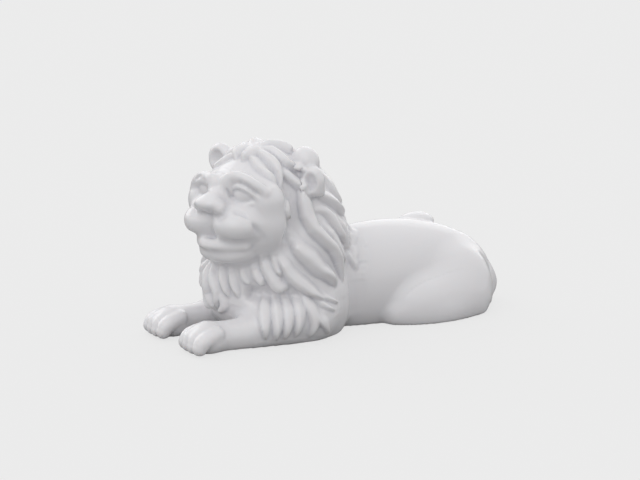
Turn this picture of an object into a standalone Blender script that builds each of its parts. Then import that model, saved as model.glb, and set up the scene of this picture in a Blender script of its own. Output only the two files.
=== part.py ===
"""A white glazed porcelain lion, lying with its head up and its tail over its back: one cast piece."""

import math
from collections import namedtuple

import bmesh
import bpy
import numpy as np
from mathutils import Matrix

# Driving dimensions, in metres.
LENGTH = 0.158  # tips of the forepaws to the back of the tail
# The figure is a free form, so its parts are shares of the length: one share is a 160th of it.
SHARES = 160.0
UNIT = LENGTH / SHARES

HEAD_ORIGIN = (0.0, -30.0, 50.0)
HEAD_TURN = 19.0  # degrees, towards the lion's own left
MANE_AXIS = (0.0, -24.0)  # x and y of the upright axis that the mane's locks lie round
MANE_REACH = 45.0  # further from that axis than any of the mane
BASE_ROUNDING = 1.2
FOOT = 0.12  # whatever lies lower than this is flat on the table

VOXEL = 1.15  # grid of the first skin
TRIANGLES = 9400  # of the finished solid
PRESS_ROUNDS = 4
PATH_ROUNDS = 10  # of pressing for a drawn lock's line
EVEN_ROUNDS = 4
WALK_ROUNDS = 30  # from outside the mane to its surface
WALK_SHARE = 0.8  # part of the way that is left, walked in one round
PROBE = 0.05  # step for measuring slopes
STEPS_BETWEEN = 4  # rounds of a limb, or places on a line, for each one that is given
REACH = 1.5  # furthest that a point moves in one press
LEAST_SLOPE = 0.5  # a gentler slope counts as this one when points are pressed
OUTSIDE = 6.0  # value given where no mass is near
MARGIN = 2.0  # how far beyond its soft edge a mass is worked out
MARK_REACH = 2.5  # widths of a mark beyond which it presses nothing
TINY = 1e-6

PORCELAIN = (0.83, 0.82, 0.84, 1.0)
GLAZE_ROUGHNESS = 0.12

# The side of a mass, a mark or a lock: as given, its mirror image, or both.
ONE = (1,)
FAR = (-1,)
BOTH = (1, -1)

# Masses of clay. A ball is an ellipsoid, a limb is a chain of round steps: x, y, z and radius.
Ball = namedtuple("Ball", "centre size tilt soft sides")
Limb = namedtuple("Limb", "steps soft sides")
# A crease, or a ridge where the depth is below 0, drawn along points on the surface.
Mark = namedtuple("Mark", "points width depth sides")

BODY = {
    "barrel": Ball((0, 22, 17.5), (18.5, 50, 24), 0, 0, ONE),
    "rump": Ball((0, 47, 6), (15.5, 32, 26), 0, 8, ONE),
    "thigh": Ball((13.0, 43, 7.0), (12.5, 26, 15.0), 4, 3.5, BOTH),
    "lower_leg": Limb(((15.5, 57, 6, 5.5), (20.0, 42, 4, 4.4), (15.5, 21, 4, 4.4)), 4, BOTH),
    "hip": Ball((11.5, 53, 12), (10.0, 17, 16), 0, 6, BOTH),
    "heel": Ball((15.5, 60, 6.5), (5.5, 6.5, 8.5), 0, 3, BOTH),
    "mane_block": Ball((0, -24, 30), (25.5, 26.5, 42), 0, 6, ONE),
    "shoulder": Ball((12.5, -24, 13), (14.5, 25, 20), 0, 5, BOTH),
    "chest": Ball((0, -38, 24), (16.5, 20, 25), 0, 6, ONE),
    "mane_edge": Mark(((20, 1, 5), (20, 1, 14), (19, 1, 24), (15.5, 1.5, 33), (9, 2, 39)), 4.0, 3.0, BOTH),
    "chest_hollow": Mark(
        ((9, -47, 21.5), (17, -42.5, 20.5), (22, -36.5, 19.5), (25, -29.5, 18.5)),
        3.6, 4.2, BOTH,
    ),
    "left_forearm": Limb(
        (
            (20, -20, 10, 9), (19.0, -40, 7.5, 8.2), (18.0, -50, 5.6, 6.8), (17.2, -58, 5.2, 6.4),
            (17.0, -66, 5.4, 6.5)
        ),
        4, ONE,
    ),
    "left_paw": Ball((17.0, -67.0, 5.0), (8.2, 8.0, 6.0), 0, 2.5, ONE),
    "right_forearm": Limb(
        ((-20, -20, 10, 9), (-17.5, -42, 7.0, 7.8), (-15.2, -54, 5.4, 6.4), (-14.2, -67, 5.4, 6.3)),
        4, ONE,
    ),
    "right_paw": Ball((-14.0, -68.5, 5.0), (8.2, 8.0, 6.0), 0, 2.5, ONE),
    "tail": Limb(
        (
            (0, 62, 25, 6.5), (0, 70, 18, 6.0), (0, 76, 9, 5.6), (-5, 76.5, 5.0, 5.0),
            (-13, 72, 5.0, 4.6), (-20, 64, 7, 4.2), (-23, 55, 12, 4), (-22, 46, 19, 3.9),
            (-18, 40, 27, 3.8), (-12, 38, 34.5, 3.8)
        ),
        2.2, ONE,
    ),
    "tuft": Ball((-8, 45, 36.8), (5.6, 10, 4.6), 12, 1.5, ONE),
}
LEFT_TOES = (17.0, -68.5)
RIGHT_TOES = (-14.0, -70.0)
TOE_PLACES = (-6.2, -2.1, 2.1, 6.2)
TOE_SOFT = 0.8
# A toe's places: share of its place across the paw, forward of the paw's middle, height and radius.
TOE_BACK = (0.8, -3.5, 8.6, 3.3)
TOE_BEND = (1.0, 3.2, 6.5, 3.4)
TOE_TIP = (1.02, 5.2, 3.4, 3.0)
TOE_DROP = 0.12  # how much further back and lower a toe is for each share it is from the paw's middle

# The head in its own coordinates: left, forward and up.
HEAD = {
    "cranium": Ball((0, 5, 8.5), (18.0, 19, 20.0), 0, 6, ONE),
    "hair_back": Ball((0, -3, 4), (22, 18, 18), 0, 3, ONE),
    "crown_dome": Ball((15.8, -4.5, 21.5), (6.4, 5.2, 6.6), 0, 2.0, ONE),
    "ear_root": Ball((18.0, -1.8, 16.0), (4.6, 4.0, 5.4), 0, 2, ONE),
    "forehead": Ball((0, 16.0, 12.5), (15.0, 12.0, 8.0), 0, 4, ONE),
    "cheek": Ball((12.6, 15.2, 0), (10.2, 11.0, 12.6), 0, 4, BOTH),
    "temple": Ball((12.8, 16.5, 9.5), (9.2, 8.6, 7.4), 0, 4, BOTH),
    "far_cheekbone": Ball((-14.5, 20.0, 6.0), (8.6, 7.6, 8.0), 0, 4, ONE),
    "maxilla": Ball((6.6, 22, 3.0), (9.0, 11.0, 8.0), 15, 3, BOTH),
    "jaw": Ball((0, 16, -8.5), (15.5, 14, 7.5), 0, 4, ONE),
    "chin": Ball((0, 24.2, -11.4), (12.8, 9.8, 6.8), 0, 2.5, ONE),
    "lower_lip": Limb(
        (
            (-12.5, 27.0, -8.0, 1.8), (-6, 32.4, -8.0, 2.0), (0, 34.0, -8.2, 2.2), (6, 32.4, -8.0, 2.0),
            (12.5, 27.0, -8.0, 1.8)
        ),
        2, ONE,
    ),
    "bridge": Limb(((0, 22, 12.0, 5.4), (0, 28, 10.0, 4.8), (0, 33.2, 8.6, 3.9)), 3, ONE),
    "inner_brow": Ball((4.2, 26.6, 14.4), (3.7, 3.8, 5.4), 0, 2.0, BOTH),
    "pad": Ball((8.2, 26.4, -0.3), (9.8, 10.0, 7.2), 26, 3.0, BOTH),
    "nose": Ball((0, 34.4, 8.4), (6.2, 4.8, 3.2), 0, 1.6, ONE),
    "nostril": Ball((5.4, 32.8, 6.6), (2.6, 3.6, 2.8), 0, 1.6, BOTH),
    "eye_socket": Mark(((6.5, 28, 12.4), (9.5, 27.6, 11.6), (14.5, 25.6, 10.6)), 2.6, 0.9, BOTH),
    "face_edge": Mark(
        (
            (18.6, 10.5, 18.5), (20.6, 8.6, 13), (21.6, 8.0, 7), (22.2, 8.2, 1), (22.4, 9.2, -4),
            (21.6, 10.8, -9)
        ),
        3.2, 6.5, BOTH,
    ),
    "chin_shadow": Mark(
        ((0, 30, -19.6), (7, 28.5, -19.6), (12.5, 25, -18.8), (17, 20, -16.5)),
        2.6, 4.2, BOTH,
    ),
    "left_brow": Limb(
        (
            (1.6, 26.0, 15.2, 2.8), (4.4, 26.4, 17.8, 3.2), (8.0, 25.8, 18.8, 3.2),
            (12, 24.6, 17.6, 3.0), (15.5, 22.9, 15.4, 2.6), (18.2, 21.0, 13.2, 1.9)
        ),
        1.5, ONE,
    ),
    "right_brow": Limb(
        (
            (-1.6, 26.0, 15.2, 2.8), (-4.8, 26.2, 16.6, 3.0), (-9.0, 25.6, 16.8, 3.0),
            (-13.0, 24.8, 15.6, 2.8), (-17.0, 23.6, 13.4, 2.5), (-20.0, 22.0, 10.8, 1.8)
        ),
        1.5, ONE,
    ),
    "eyeball": Ball((9.6, 23.4, 12.0), (5.8, 4.3, 4.8), -14, 0.8, BOTH),
    "upper_lid": Limb(
        (
            (5.2, 26.4, 12.6, 0.8), (7.2, 27.5, 14.6, 1.0), (10.2, 27.4, 15.4, 1.1),
            (13.8, 25.8, 13.8, 1.1), (17.0, 23.2, 10.4, 0.9)
        ),
        0.8, BOTH,
    ),
}
Ear = namedtuple("Ear", "centre size turn")
EARS = (
    Ear((22.8, -1.8, 15.0), (4.9, 3.6, 6.3), 14),
    Ear((-21.0, 6.0, 20.4), (6.8, 3.6, 6.6), -4),
)
EAR_SOFT = 1.6
HOLLOW_SHARE = 0.68  # of the ear's own width and height
HOLLOW_DEPTH = 0.8
HOLLOW_FORWARD = 1.1
HOLLOW_RIM = 1.0

# What is pressed into the finished head.
FEATURES = {
    "brow_top": Mark(
        (
            (-16, 21, 19), (-10, 24.5, 20.5), (-3, 26, 20.2), (2, 26, 21.0), (8, 25.5, 22.8),
            (13, 23.5, 21.2), (17.5, 20, 18)
        ),
        1.8, 1.8, ONE,
    ),
    "philtrum": Mark(((0.6, 38, 4.4), (0.4, 37.4, -4.8)), 1.3, 3.0, ONE),
    "under_nose": Mark(((0, 38.6, 4.2), (3.4, 37.6, 4.2), (6.6, 35.4, 3.6)), 1.4, 1.8, BOTH),
    "nose_wing": Mark(((7.6, 35, 3.4), (8.8, 33, 6.6), (7.4, 29.4, 10.4)), 1.1, 1.2, BOTH),
    "mouth": Mark(
        ((0, 38, -6.4), (5, 37, -6.8), (11, 33.4, -7.2), (16.5, 28.0, -7.2), (20.5, 23, -6.6)),
        1.5, 6.0, BOTH,
    ),
    "lip_fold": Mark(((0, 36, -12.0), (8, 33.4, -12.0), (14, 28.4, -11.4)), 1.3, 0.8, BOTH),
    "cheek_fold": Mark(
        ((9.5, 32, 7.0), (14.5, 28.5, 3.2), (18.4, 25.4, -2.4), (19.4, 23, -6.0)),
        1.3, 1.1, BOTH,
    ),
}

# Locks round the mane: angle of the root from straight ahead and its height, how far the lock leans from
# straight down towards the back at its root and its tip, in degrees, and its length, half width and height.
Lock = namedtuple("Lock", "angle height first_lean last_lean length width rise")
# Rows of locks, evenly between two ends.
Row = namedtuple("Row", "count first last sides")
ROWS = {
    "nape": Row(4, Lock(176, 71, 6, 10, 25, 3.7, 2.4), Lock(138, 67, 22, 28, 25, 3.7, 2.2), BOTH),
    "low_nape": Row(4, Lock(168, 52, 8, 10, 20, 3.4, 2.0), Lock(140, 47, 26, 30, 18, 3.4, 2.0), BOTH),
    "hem": Row(5, Lock(172, 42, 8, 8, 16, 2.8, 1.3), Lock(142, 34, 20, 24, 13, 2.8, 1.3), BOTH),
    "far_high": Row(4, Lock(86, 58, 44, 52, 24, 3.4, 2.3), Lock(126, 62, 30, 38, 24, 3.4, 2.2), FAR),
    "far_mid": Row(4, Lock(80, 42, 44, 56, 20, 3.2, 2.2), Lock(128, 44, 28, 36, 20, 3.2, 2.0), FAR),
    "far_low": Row(4, Lock(76, 29, 30, 50, 15, 2.6, 1.8), Lock(124, 28, 26, 36, 14, 2.6, 1.6), FAR),
}
# Locks on the head: root, first and last direction in the head's own coordinates.
Hair = namedtuple("Hair", "root first last length width rise")
HAIR = {
    "crown": Hair((1.2, 7, 29.0), (0.7, -0.8, 0.4), (0.6, -1, -0.2), 16, 3.4, 2.6),
    "crown_back": Hair((2, -6, 26), (0.7, -0.9, 0), (0.4, -0.9, -0.8), 22, 3.8, 2.4),
    "crown_far_back": Hair((2, -14, 20), (0.5, -0.9, -0.4), (0.2, -0.6, -1), 22, 3.8, 2.4),
}
# Locks drawn point by point, with their half width and height: on the head in its own coordinates, and round
# the mane by angle from straight ahead and height.
Tress = namedtuple("Tress", "path width rise sides")
HEAD_TRESSES = {
    "before_ear": Tress(
        (
            (14.5, 9.8, 21), (18.6, 7.8, 17.6), (21.4, 5.8, 13.5), (22.8, 4.0, 9), (23.6, 2.2, 3),
            (24.4, 0.3, -3), (25.5, -4.2, -8.5), (26.5, -9, -14), (28, -12, -21), (28.5, -14, -28)
        ),
        3.5, 2.9, BOTH,
    ),
    "behind_ear": Tress(
        ((27, -2, 10), (25, -8, 10), (22, -13, 7), (20, -18, 2), (19, -24, -4)),
        3.4, 2.2, BOTH,
    ),
    "under_ear": Tress(
        ((23, -3, 4), (24, -7, 3), (24.5, -11, -1), (25, -14, -7), (24, -19, -13)),
        3.0, 2.2, BOTH,
    ),
    "under_ear_low": Tress(((25, -6, -3), (26.5, -10, -9), (27, -13, -15), (26, -17, -21)), 3.0, 2.1, BOTH),
    "cheek": Tress(
        ((21, 9, -5), (24, 7, -11), (26, 3, -15), (27, 0, -19), (28, -4, -22), (30, -9, -28)),
        4.4, 3.2, BOTH,
    ),
    "jaw_corner": Tress(
        ((19, 15, -13), (20.5, 13, -16), (23, 11, -21), (25, 7, -25), (28, 3, -29), (30, -2, -33)),
        3.5, 2.5, BOTH,
    ),
    "throat": Tress(
        ((15, 19, -14), (15, 17.5, -18), (17, 16, -22), (20, 16, -26), (23, 13, -30)),
        3.4, 2.4, BOTH,
    ),
    "throat_small": Tress(((11, 20.5, -18), (12.5, 20, -21), (15.5, 19, -25.5)), 2.6, 1.8, BOTH),
    "jaw_small": Tress(((18, 16.5, -13), (18.4, 15, -18), (20, 13.6, -22)), 2.2, 1.6, BOTH),
    "forelock": Tress(((5.4, 9, 28.2), (3.8, 14, 26.8), (1.9, 18.4, 24)), 2.7, 2.2, BOTH),
    "fringe_front": Tress(
        ((3.4, 14.6, 25.6), (7, 15.6, 24.6), (10.4, 15.6, 22), (14, 14.8, 18.6), (16.4, 14.4, 14)),
        2.5, 1.8, BOTH,
    ),
    "fringe": Tress(
        ((3, 11.5, 27.5), (8, 10.6, 25.8), (12, 9.6, 23), (15.5, 9.8, 19), (18, 11, 13)),
        2.8, 2.1, BOTH,
    ),
    "fringe_back": Tress(
        ((4, 7.5, 29), (8, 5.5, 27.4), (12.5, 4.6, 25), (17, 3.2, 22), (21.5, 0.6, 19.5)),
        3.0, 2.2, BOTH,
    ),
}
MANE_TRESSES = {
    "shoulder_high": Tress(((88, 23), (97, 20), (106, 17.5), (115, 15)), 1.7, 1.2, BOTH),
    "shoulder_mid": Tress(((88, 20), (98, 16), (109, 12.5)), 1.6, 1.1, BOTH),
    "shoulder_low": Tress(((81, 21), (86, 16), (92, 11), (101, 5)), 1.9, 1.3, BOTH),
    "shoulder_hem": Tress(((97, 11), (105, 7), (113, 3.5)), 1.6, 0.9, BOTH),
    "skirt_1": Tress(((46.0, 20.5), (49.5, 13), (51.0, 4)), 2.9, 1.7, BOTH),
    "skirt_2": Tress(((54.5, 21), (59, 12.5), (57.5, 3)), 2.9, 1.7, BOTH),
    "skirt_3": Tress(((63, 21), (67.5, 13.5), (64, 3)), 2.9, 1.7, BOTH),
    "skirt_4": Tress(((72, 21.5), (76.5, 14.5), (73, 3.5)), 2.9, 1.7, BOTH),
    "skirt_5": Tress(((80, 22), (86, 15.5), (89, 9), (85, 2.5)), 2.9, 1.7, BOTH),
    "beard_1": Tress(((-12, 32), (-13, 26), (-10, 19)), 2.2, 1.6, ONE),
    "beard_2": Tress(((-4, 32), (-2, 25), (2, 18)), 2.2, 1.7, ONE),
    "beard_3": Tress(((2, 32), (7, 25), (11, 20), (7, 13)), 2.4, 1.9, ONE),
    "beard_4": Tress(((12, 32), (16, 25), (20, 19)), 2.0, 1.7, ONE),
    "beard_5": Tress(((20, 31), (23, 25), (27, 19)), 1.9, 1.5, ONE),
    "beard_6": Tress(((28, 31), (31, 27), (36, 25)), 1.6, 1.1, ONE),
    "beard_7": Tress(((-20, 31), (-21, 25), (-16, 17)), 2.3, 1.7, ONE),
    "beard_8": Tress(((-29, 30), (-30, 24), (-24, 16)), 2.3, 1.7, ONE),
    "beard_tip_1": Tress(((-7, 23), (2, 17), (5, 12)), 2.2, 1.6, ONE),
    "beard_tip_2": Tress(((11, 22), (15, 16), (8, 11.5)), 2.2, 1.6, ONE),
    "beard_tip_3": Tress(((-16, 20), (-10, 14), (-6, 11.5)), 2.2, 1.5, ONE),
}
SWAY = 14.0  # degrees that a lock's heading sways to either side
SWAY_PHASE = 2.4  # how far each lock's sway is behind the one before
LOCK_STEPS = 10
LOCK_CULL = 1.0
RELIEF = 1.55  # how boldly every lock stands out
LOCK_SEAM = 0.5
CREST = -0.3  # where a lock is highest, from -1 at its lower edge to 1
# A lock widens from its root over a part of its length, then narrows to its tip, and climbs as it goes.
ROOT_WIDTH = 0.55
ROOT_PART = 0.4
NARROWING = 0.7
TIP_WIDTH = 0.04
ROOT_RISE = 0.55
ROOT_START = 0.3
ROOT_CLIMB = 4.0
TIP_SHARE = 0.3  # part of a lock's length over which its tip falls to the form below


def turn_z(degrees):
    """Matrix that takes row vectors into a frame turned about Z."""
    c, s = math.cos(math.radians(degrees)), math.sin(math.radians(degrees))
    return np.array(((c, -s, 0), (s, c, 0), (0, 0, 1)))


def merged(a, b, soft):
    """The smaller of two values, with a fillet about as wide as soft."""
    overlap = np.maximum(soft - np.abs(a - b), 0)
    return np.minimum(a, b) - overlap**2 / (4 * max(soft, TINY))


def unit(vectors):
    """Vectors scaled to a length of one."""
    return vectors / np.maximum(np.linalg.norm(vectors, axis=-1, keepdims=True), TINY)


def curved(steps, between=STEPS_BETWEEN):
    """A chain's steps with more between them, on a smooth curve through all of them."""
    steps = np.array(steps, float)
    ends = np.concatenate((2 * steps[:1] - steps[1:2], steps, 2 * steps[-1:] - steps[-2:-1]))
    a, b, c, d = (ends[i : len(steps) - 1 + i, None] for i in range(4))
    t = np.linspace(0, 1, between, endpoint=False)[None, :, None]
    curve = b + (c - a) * t / 2 + (a - 2.5 * b + 2 * c - d / 2) * t**2 + (1.5 * (b - c) + (d - a) / 2) * t**3
    return np.concatenate((curve.reshape(-1, steps.shape[1]), steps[-1:]))


def nearest_on_path(points, path):
    """Distance from each point to a path, where on it in steps, and the vector from there to the point."""
    best = np.full(len(points), np.inf)
    where = np.zeros(len(points))
    offset = np.zeros_like(points)
    for i, (start, end) in enumerate(zip(path[:-1], path[1:])):
        along = end - start
        t = np.clip((points - start) @ along / (along @ along), 0, 1)
        away = points - start - t[:, None] * along
        far = np.linalg.norm(away, axis=1)
        closer = far < best
        best = np.where(closer, far, best)
        where = np.where(closer, i + t, where)
        offset = np.where(closer[:, None], away, offset)
    return best, where, offset


def ball_value(points, ball, side=1):
    """How far each point is outside an ellipsoid, below 0 inside it."""
    local = (points - np.array(ball.centre) * (side, 1, 1)) @ turn_z(ball.tilt * side)
    size = np.array(ball.size)
    ratio = np.linalg.norm(local / size, axis=1)
    slope = np.linalg.norm(local / size**2, axis=1)
    return ratio * (ratio - 1) / np.maximum(slope, TINY)


def limb_value(points, limb, side=1):
    """How far each point is outside a chain of round steps."""
    steps = curved(limb.steps) * (side, 1, 1, 1)
    value = np.full(len(points), OUTSIDE)
    for start, end in zip(steps[:-1], steps[1:]):
        along = end[:3] - start[:3]
        t = np.clip((points - start[:3]) @ along / (along @ along), 0, 1)
        away = np.linalg.norm(points - start[:3] - t[:, None] * along, axis=1)
        value = np.minimum(value, away - start[3] - t * (end[3] - start[3]))
    return value


def mass_box(mass, side):
    """Corners of a box round a mass."""
    if isinstance(mass, Ball):
        centre = np.array(mass.centre) * (side, 1, 1)
        across = max(mass.size[:2])
        size = np.array((across, across, mass.size[2]) if mass.tilt else mass.size)
        return centre - size, centre + size
    steps = curved(mass.steps) * (side, 1, 1, 1)
    radius = steps[:, 3:].max()
    return steps[:, :3].min(axis=0) - radius, steps[:, :3].max(axis=0) + radius


def inside(points, low, high, margin):
    """Which points lie in a box made larger by a margin."""
    return np.flatnonzero(((points > low - margin) & (points < high + margin)).all(axis=1))


def press_in(value, points, mark, side):
    """Presses a soft groove into the value, shallower at its two ends."""
    path = curved(mark.points, 3) * (side, 1, 1)
    near = inside(points, path.min(axis=0), path.max(axis=0), mark.width * MARK_REACH)
    away, where, _ = nearest_on_path(points[near], path)
    share = where / (len(path) - 1)
    fade = np.clip(np.minimum(share, 1 - share) * 6 + 0.35, 0, 1)
    value[near] += mark.depth * fade * np.exp(-((away / mark.width) ** 2))


def work(value, points, clay):
    """Merges each mass into the value and presses in each mark, in turn."""
    for item in clay.values():
        for side in item.sides:
            if isinstance(item, Mark):
                press_in(value, points, item, side)
                continue
            near = inside(points, *mass_box(item, side), item.soft + MARGIN)
            measure = ball_value if isinstance(item, Ball) else limb_value
            value[near] = merged(value[near], measure(points[near], item, side), item.soft)


def into_head(points):
    """Body coordinates to head coordinates: left, forward and up from the head's origin."""
    c, s = math.cos(math.radians(HEAD_TURN)), math.sin(math.radians(HEAD_TURN))
    x, y, z = (points - np.array(HEAD_ORIGIN)).T
    return np.stack((x * c + y * s, x * s - y * c, z), axis=1)


def out_of_head(points):
    """Head coordinates back to body coordinates."""
    c, s = math.cos(math.radians(HEAD_TURN)), math.sin(math.radians(HEAD_TURN))
    left, forward, up = points.T
    return np.stack((left * c + forward * s, left * s - forward * c, up), axis=1) + np.array(HEAD_ORIGIN)


def toe_masses():
    """Four toes on each forepaw: each comes over the paw, bends at the knuckle and drops to the table."""
    toes = {}
    for x, y in (LEFT_TOES, RIGHT_TOES):
        for place in TOE_PLACES:
            drop = TOE_DROP * abs(place)
            back, bend, tip = (
                (x + across * place, y - forward + lag * drop, height - lower * drop, radius)
                for (across, forward, height, radius), lag, lower in (
                    (TOE_BACK, 0, 1),
                    (TOE_BEND, 1, 1),
                    (TOE_TIP, 1, 0),
                )
            )
            toes[f"toe_{x}_{place}"] = Limb((back, bend, tip), TOE_SOFT, ONE)
    return toes


def ear_value(points, ear):
    """A round cup of an ear, in head coordinates: a flat ball with a smaller one taken out of its front."""
    facing = np.array((math.sin(math.radians(ear.turn)), math.cos(math.radians(ear.turn)), 0))
    shell = Ball(ear.centre, ear.size, -ear.turn, 0, ONE)
    wide, deep, tall = ear.size
    middle = np.array(ear.centre) + facing * deep * HOLLOW_FORWARD
    size = (wide * HOLLOW_SHARE, deep * HOLLOW_DEPTH, tall * HOLLOW_SHARE)
    hollow = Ball(tuple(middle), size, -ear.turn, 0, ONE)
    return -merged(-ball_value(points, shell), ball_value(points, hollow), HOLLOW_RIM)


def smooth_form(points):
    """The whole figure without its locks, below 0 inside it."""
    value = np.full(len(points), OUTSIDE)
    work(value, points, BODY)
    work(value, points, toe_masses())
    head = into_head(points)
    work(value, head, HEAD)
    for ear in EARS:
        near = inside(head, np.array(ear.centre), np.array(ear.centre), 2 * max(ear.size))
        value[near] = merged(value[near], ear_value(head[near], ear), EAR_SOFT)
    work(value, head, FEATURES)
    return -merged(-value, points[:, 2], BASE_ROUNDING)


def slopes(points, form):
    """Value of a form at each point and the direction in which it grows."""
    value = form(points)
    slope = np.stack([(form(points + step) - value) / PROBE for step in np.eye(3) * PROBE], axis=1)
    return value, slope


def press(points, form, rounds=PRESS_ROUNDS):
    """Moves points along the slope until they lie on the form's surface."""
    for _ in range(rounds):
        value, slope = slopes(points, form)
        steep = np.maximum((slope**2).sum(axis=1), LEAST_SLOPE**2)
        move = -(value / steep)[:, None] * slope
        far = np.linalg.norm(move, axis=1)
        points = points + move * np.minimum(1, REACH / np.maximum(far, TINY))[:, None]
    return points


def mane_points(angle, height):
    """Points on the smooth form at angles round the mane's axis, found by walking in from outside."""
    outwards = np.stack((np.sin(angle), -np.cos(angle), np.zeros_like(angle)), axis=1)
    axis = np.stack((np.full_like(height, MANE_AXIS[0]), np.full_like(height, MANE_AXIS[1]), height), axis=1)
    reach = np.full(len(angle), MANE_REACH)
    for _ in range(WALK_ROUNDS):
        reach = np.maximum(reach - WALK_SHARE * smooth_form(axis + outwards * reach[:, None]), 0)
    return axis + outwards * reach[:, None]


def grown(points, lengths, first, last):
    """Paths over the form from roots: each heading turns from its first direction to its last, and sways."""
    path = [points]
    phase = SWAY_PHASE * np.arange(len(points))
    for step in range(LOCK_STEPS):
        share = step / (LOCK_STEPS - 1)
        _, normal = slopes(points, smooth_form)
        normal = unit(normal)
        heading = first * (1 - share) + last * share
        heading = unit(heading - normal * (heading * normal).sum(axis=1)[:, None])
        turn = (math.radians(SWAY) * np.sin(2 * math.pi * share + phase))[:, None]
        heading = np.cos(turn) * heading + np.sin(turn) * np.cross(normal, heading)
        points = press(points + heading * (lengths / LOCK_STEPS)[:, None], smooth_form, 2)
        path.append(points)
    return np.stack(path, axis=1)


def all_lock_sizes():
    """Each lock of the mane's rows with its side."""
    placed = []
    for row in ROWS.values():
        for share in np.linspace(0, 1, row.count):
            lock = Lock(*(a + (b - a) * share for a, b in zip(row.first, row.last)))
            placed += [(lock, side) for side in row.sides]
    return placed


def mane_starts():
    """Roots and first and last directions of the locks round the mane, their sizes and their sides."""
    placed = all_lock_sizes()
    side = np.array([side for _, side in placed], float)
    sizes = np.array([lock for lock, _ in placed], float)
    angle = np.radians(sizes[:, 0]) * side
    roots = mane_points(angle, sizes[:, 1])
    back = np.stack((np.cos(angle), np.sin(angle), np.zeros_like(angle)), axis=1) * side[:, None]
    down = np.array((0, 0, -1.0))
    leans = np.radians(sizes[:, 2:4])
    first, last = (np.cos(lean)[:, None] * down + np.sin(lean)[:, None] * back for lean in leans.T)
    return roots, first, last, sizes[:, 4:], side


def hair_starts():
    """The same for the locks on the head."""
    origin = np.array(HEAD_ORIGIN)
    pairs = [(hair, side) for hair in HAIR.values() for side in BOTH]
    roots, first, last = (
        out_of_head(np.array([np.multiply(getattr(hair, part), (side, 1, 1)) for hair, side in pairs]))
        for part in ("root", "first", "last")
    )
    sizes = np.array([(hair.length, hair.width, hair.rise) for hair, _ in pairs])
    side = np.array([side for _, side in pairs], float)
    return press(roots, smooth_form), first - origin, last - origin, sizes, side


def evenly(path):
    """A drawn line as even steps on a smooth curve through its points."""
    fine = curved(path, 2 * STEPS_BETWEEN)
    far = np.concatenate(([0], np.cumsum(np.linalg.norm(np.diff(fine, axis=0), axis=1))))
    even = np.linspace(0, far[-1], LOCK_STEPS + 1)
    return np.stack([np.interp(even, far, column) for column in fine.T], axis=1)


def drawn():
    """The lines of the tresses on the clay, with their half widths, heights and sides."""
    paths, sizes, sides = [], [], []
    for tress in HEAD_TRESSES.values():
        for side in tress.sides:
            paths.append(out_of_head(evenly(tress.path) * (side, 1, 1)))
            sizes.append((tress.width, tress.rise))
            sides.append(side)
    for tress in MANE_TRESSES.values():
        angle, height = evenly(tress.path).T
        for side in tress.sides:
            paths.append(mane_points(np.radians(angle) * side, height))
            sizes.append((tress.width, tress.rise))
            sides.append(side)
    pressed = press(np.concatenate(paths), smooth_form, PATH_ROUNDS)
    return pressed.reshape(len(paths), -1, 3), np.array(sizes), np.array(sides, float)


def all_locks():
    """Every lock: its path over the smooth form, half width, height and side."""
    roots, first, last, sizes, side = (np.concatenate(both) for both in zip(mane_starts(), hair_starts()))
    paths, drawn_sizes, drawn_side = drawn()
    paths = np.concatenate((grown(roots, sizes[:, 0], first, last), paths))
    return list(zip(paths, np.concatenate((sizes[:, 1:], drawn_sizes)), np.concatenate((side, drawn_side))))


def lock_height(away, share, width, rise):
    """Height of a lock over the form: an arch with its crest to one side, low at the root and the tip."""
    half = width * (ROOT_WIDTH + (1 - ROOT_WIDTH) * np.minimum(share / ROOT_PART, 1))
    half = half * (1 + TIP_WIDTH - share**3) ** NARROWING
    across = away / half
    upper, lower = (across - CREST) / (1 - CREST), (CREST - across) / (1 + CREST)
    slant = np.where(across > CREST, upper, lower)
    tip = np.clip((1 - share) / TIP_SHARE, 0, 1)
    climb = (ROOT_RISE + (1 - ROOT_RISE) * share) * tip * (2 - tip)
    climb = climb * np.clip(share * ROOT_CLIMB + ROOT_START, 0, 1)
    return RELIEF * rise * (1 - slant**2) * climb


def lock_relief(points, normal, locks):
    """How high the locks stand over points of the smooth form."""
    relief = np.zeros(len(points))
    for path, (width, rise), side in locks:
        near = inside(points, path.min(axis=0), path.max(axis=0), width + LOCK_CULL)
        away, where, offset = nearest_on_path(points[near], path)
        step = np.minimum(where.astype(int), LOCK_STEPS - 1)
        sideways = np.cross(normal[near], (path[1:] - path[:-1])[step]) * side
        signed = np.where((offset * sideways).sum(axis=1) < 0, -away, away)
        raised = lock_height(signed, where / LOCK_STEPS, width, rise)
        relief[near] = -merged(-relief[near], -raised, LOCK_SEAM)
    return relief


def blank_mesh():
    """The first blank: every mass as Blender balls, in one mesh."""
    sculpt = bmesh.new()

    def place(centre, size, tilt, side, frame):
        turn = Matrix.Rotation(math.radians(tilt * side), 4, "Z")
        at = Matrix.Translation((centre[0] * side, centre[1], centre[2]))
        matrix = frame @ at @ turn @ Matrix.Diagonal((*size, 1))
        bmesh.ops.create_icosphere(sculpt, subdivisions=3, radius=1, matrix=matrix)

    turned = Matrix.Rotation(math.radians(HEAD_TURN), 4, "Z")
    head_frame = Matrix.Translation(HEAD_ORIGIN) @ turned @ Matrix.Scale(-1, 4, (0, 1, 0))
    body_frame = Matrix.Identity(4)
    for clay, frame in ((BODY, body_frame), (toe_masses(), body_frame), (HEAD, head_frame)):
        for item in clay.values():
            if isinstance(item, Mark):
                continue
            for side in item.sides:
                if isinstance(item, Ball):
                    place(item.centre, item.size, item.tilt, side, frame)
                    continue
                for x, y, z, radius in curved(item.steps):
                    place((x, y, z), (radius,) * 3, 0, side, frame)
    for ear in EARS:
        place(ear.centre, ear.size, -ear.turn, 1, head_frame)
    mesh = bpy.data.meshes.new("lion")
    sculpt.to_mesh(mesh)
    sculpt.free()
    return mesh


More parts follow.
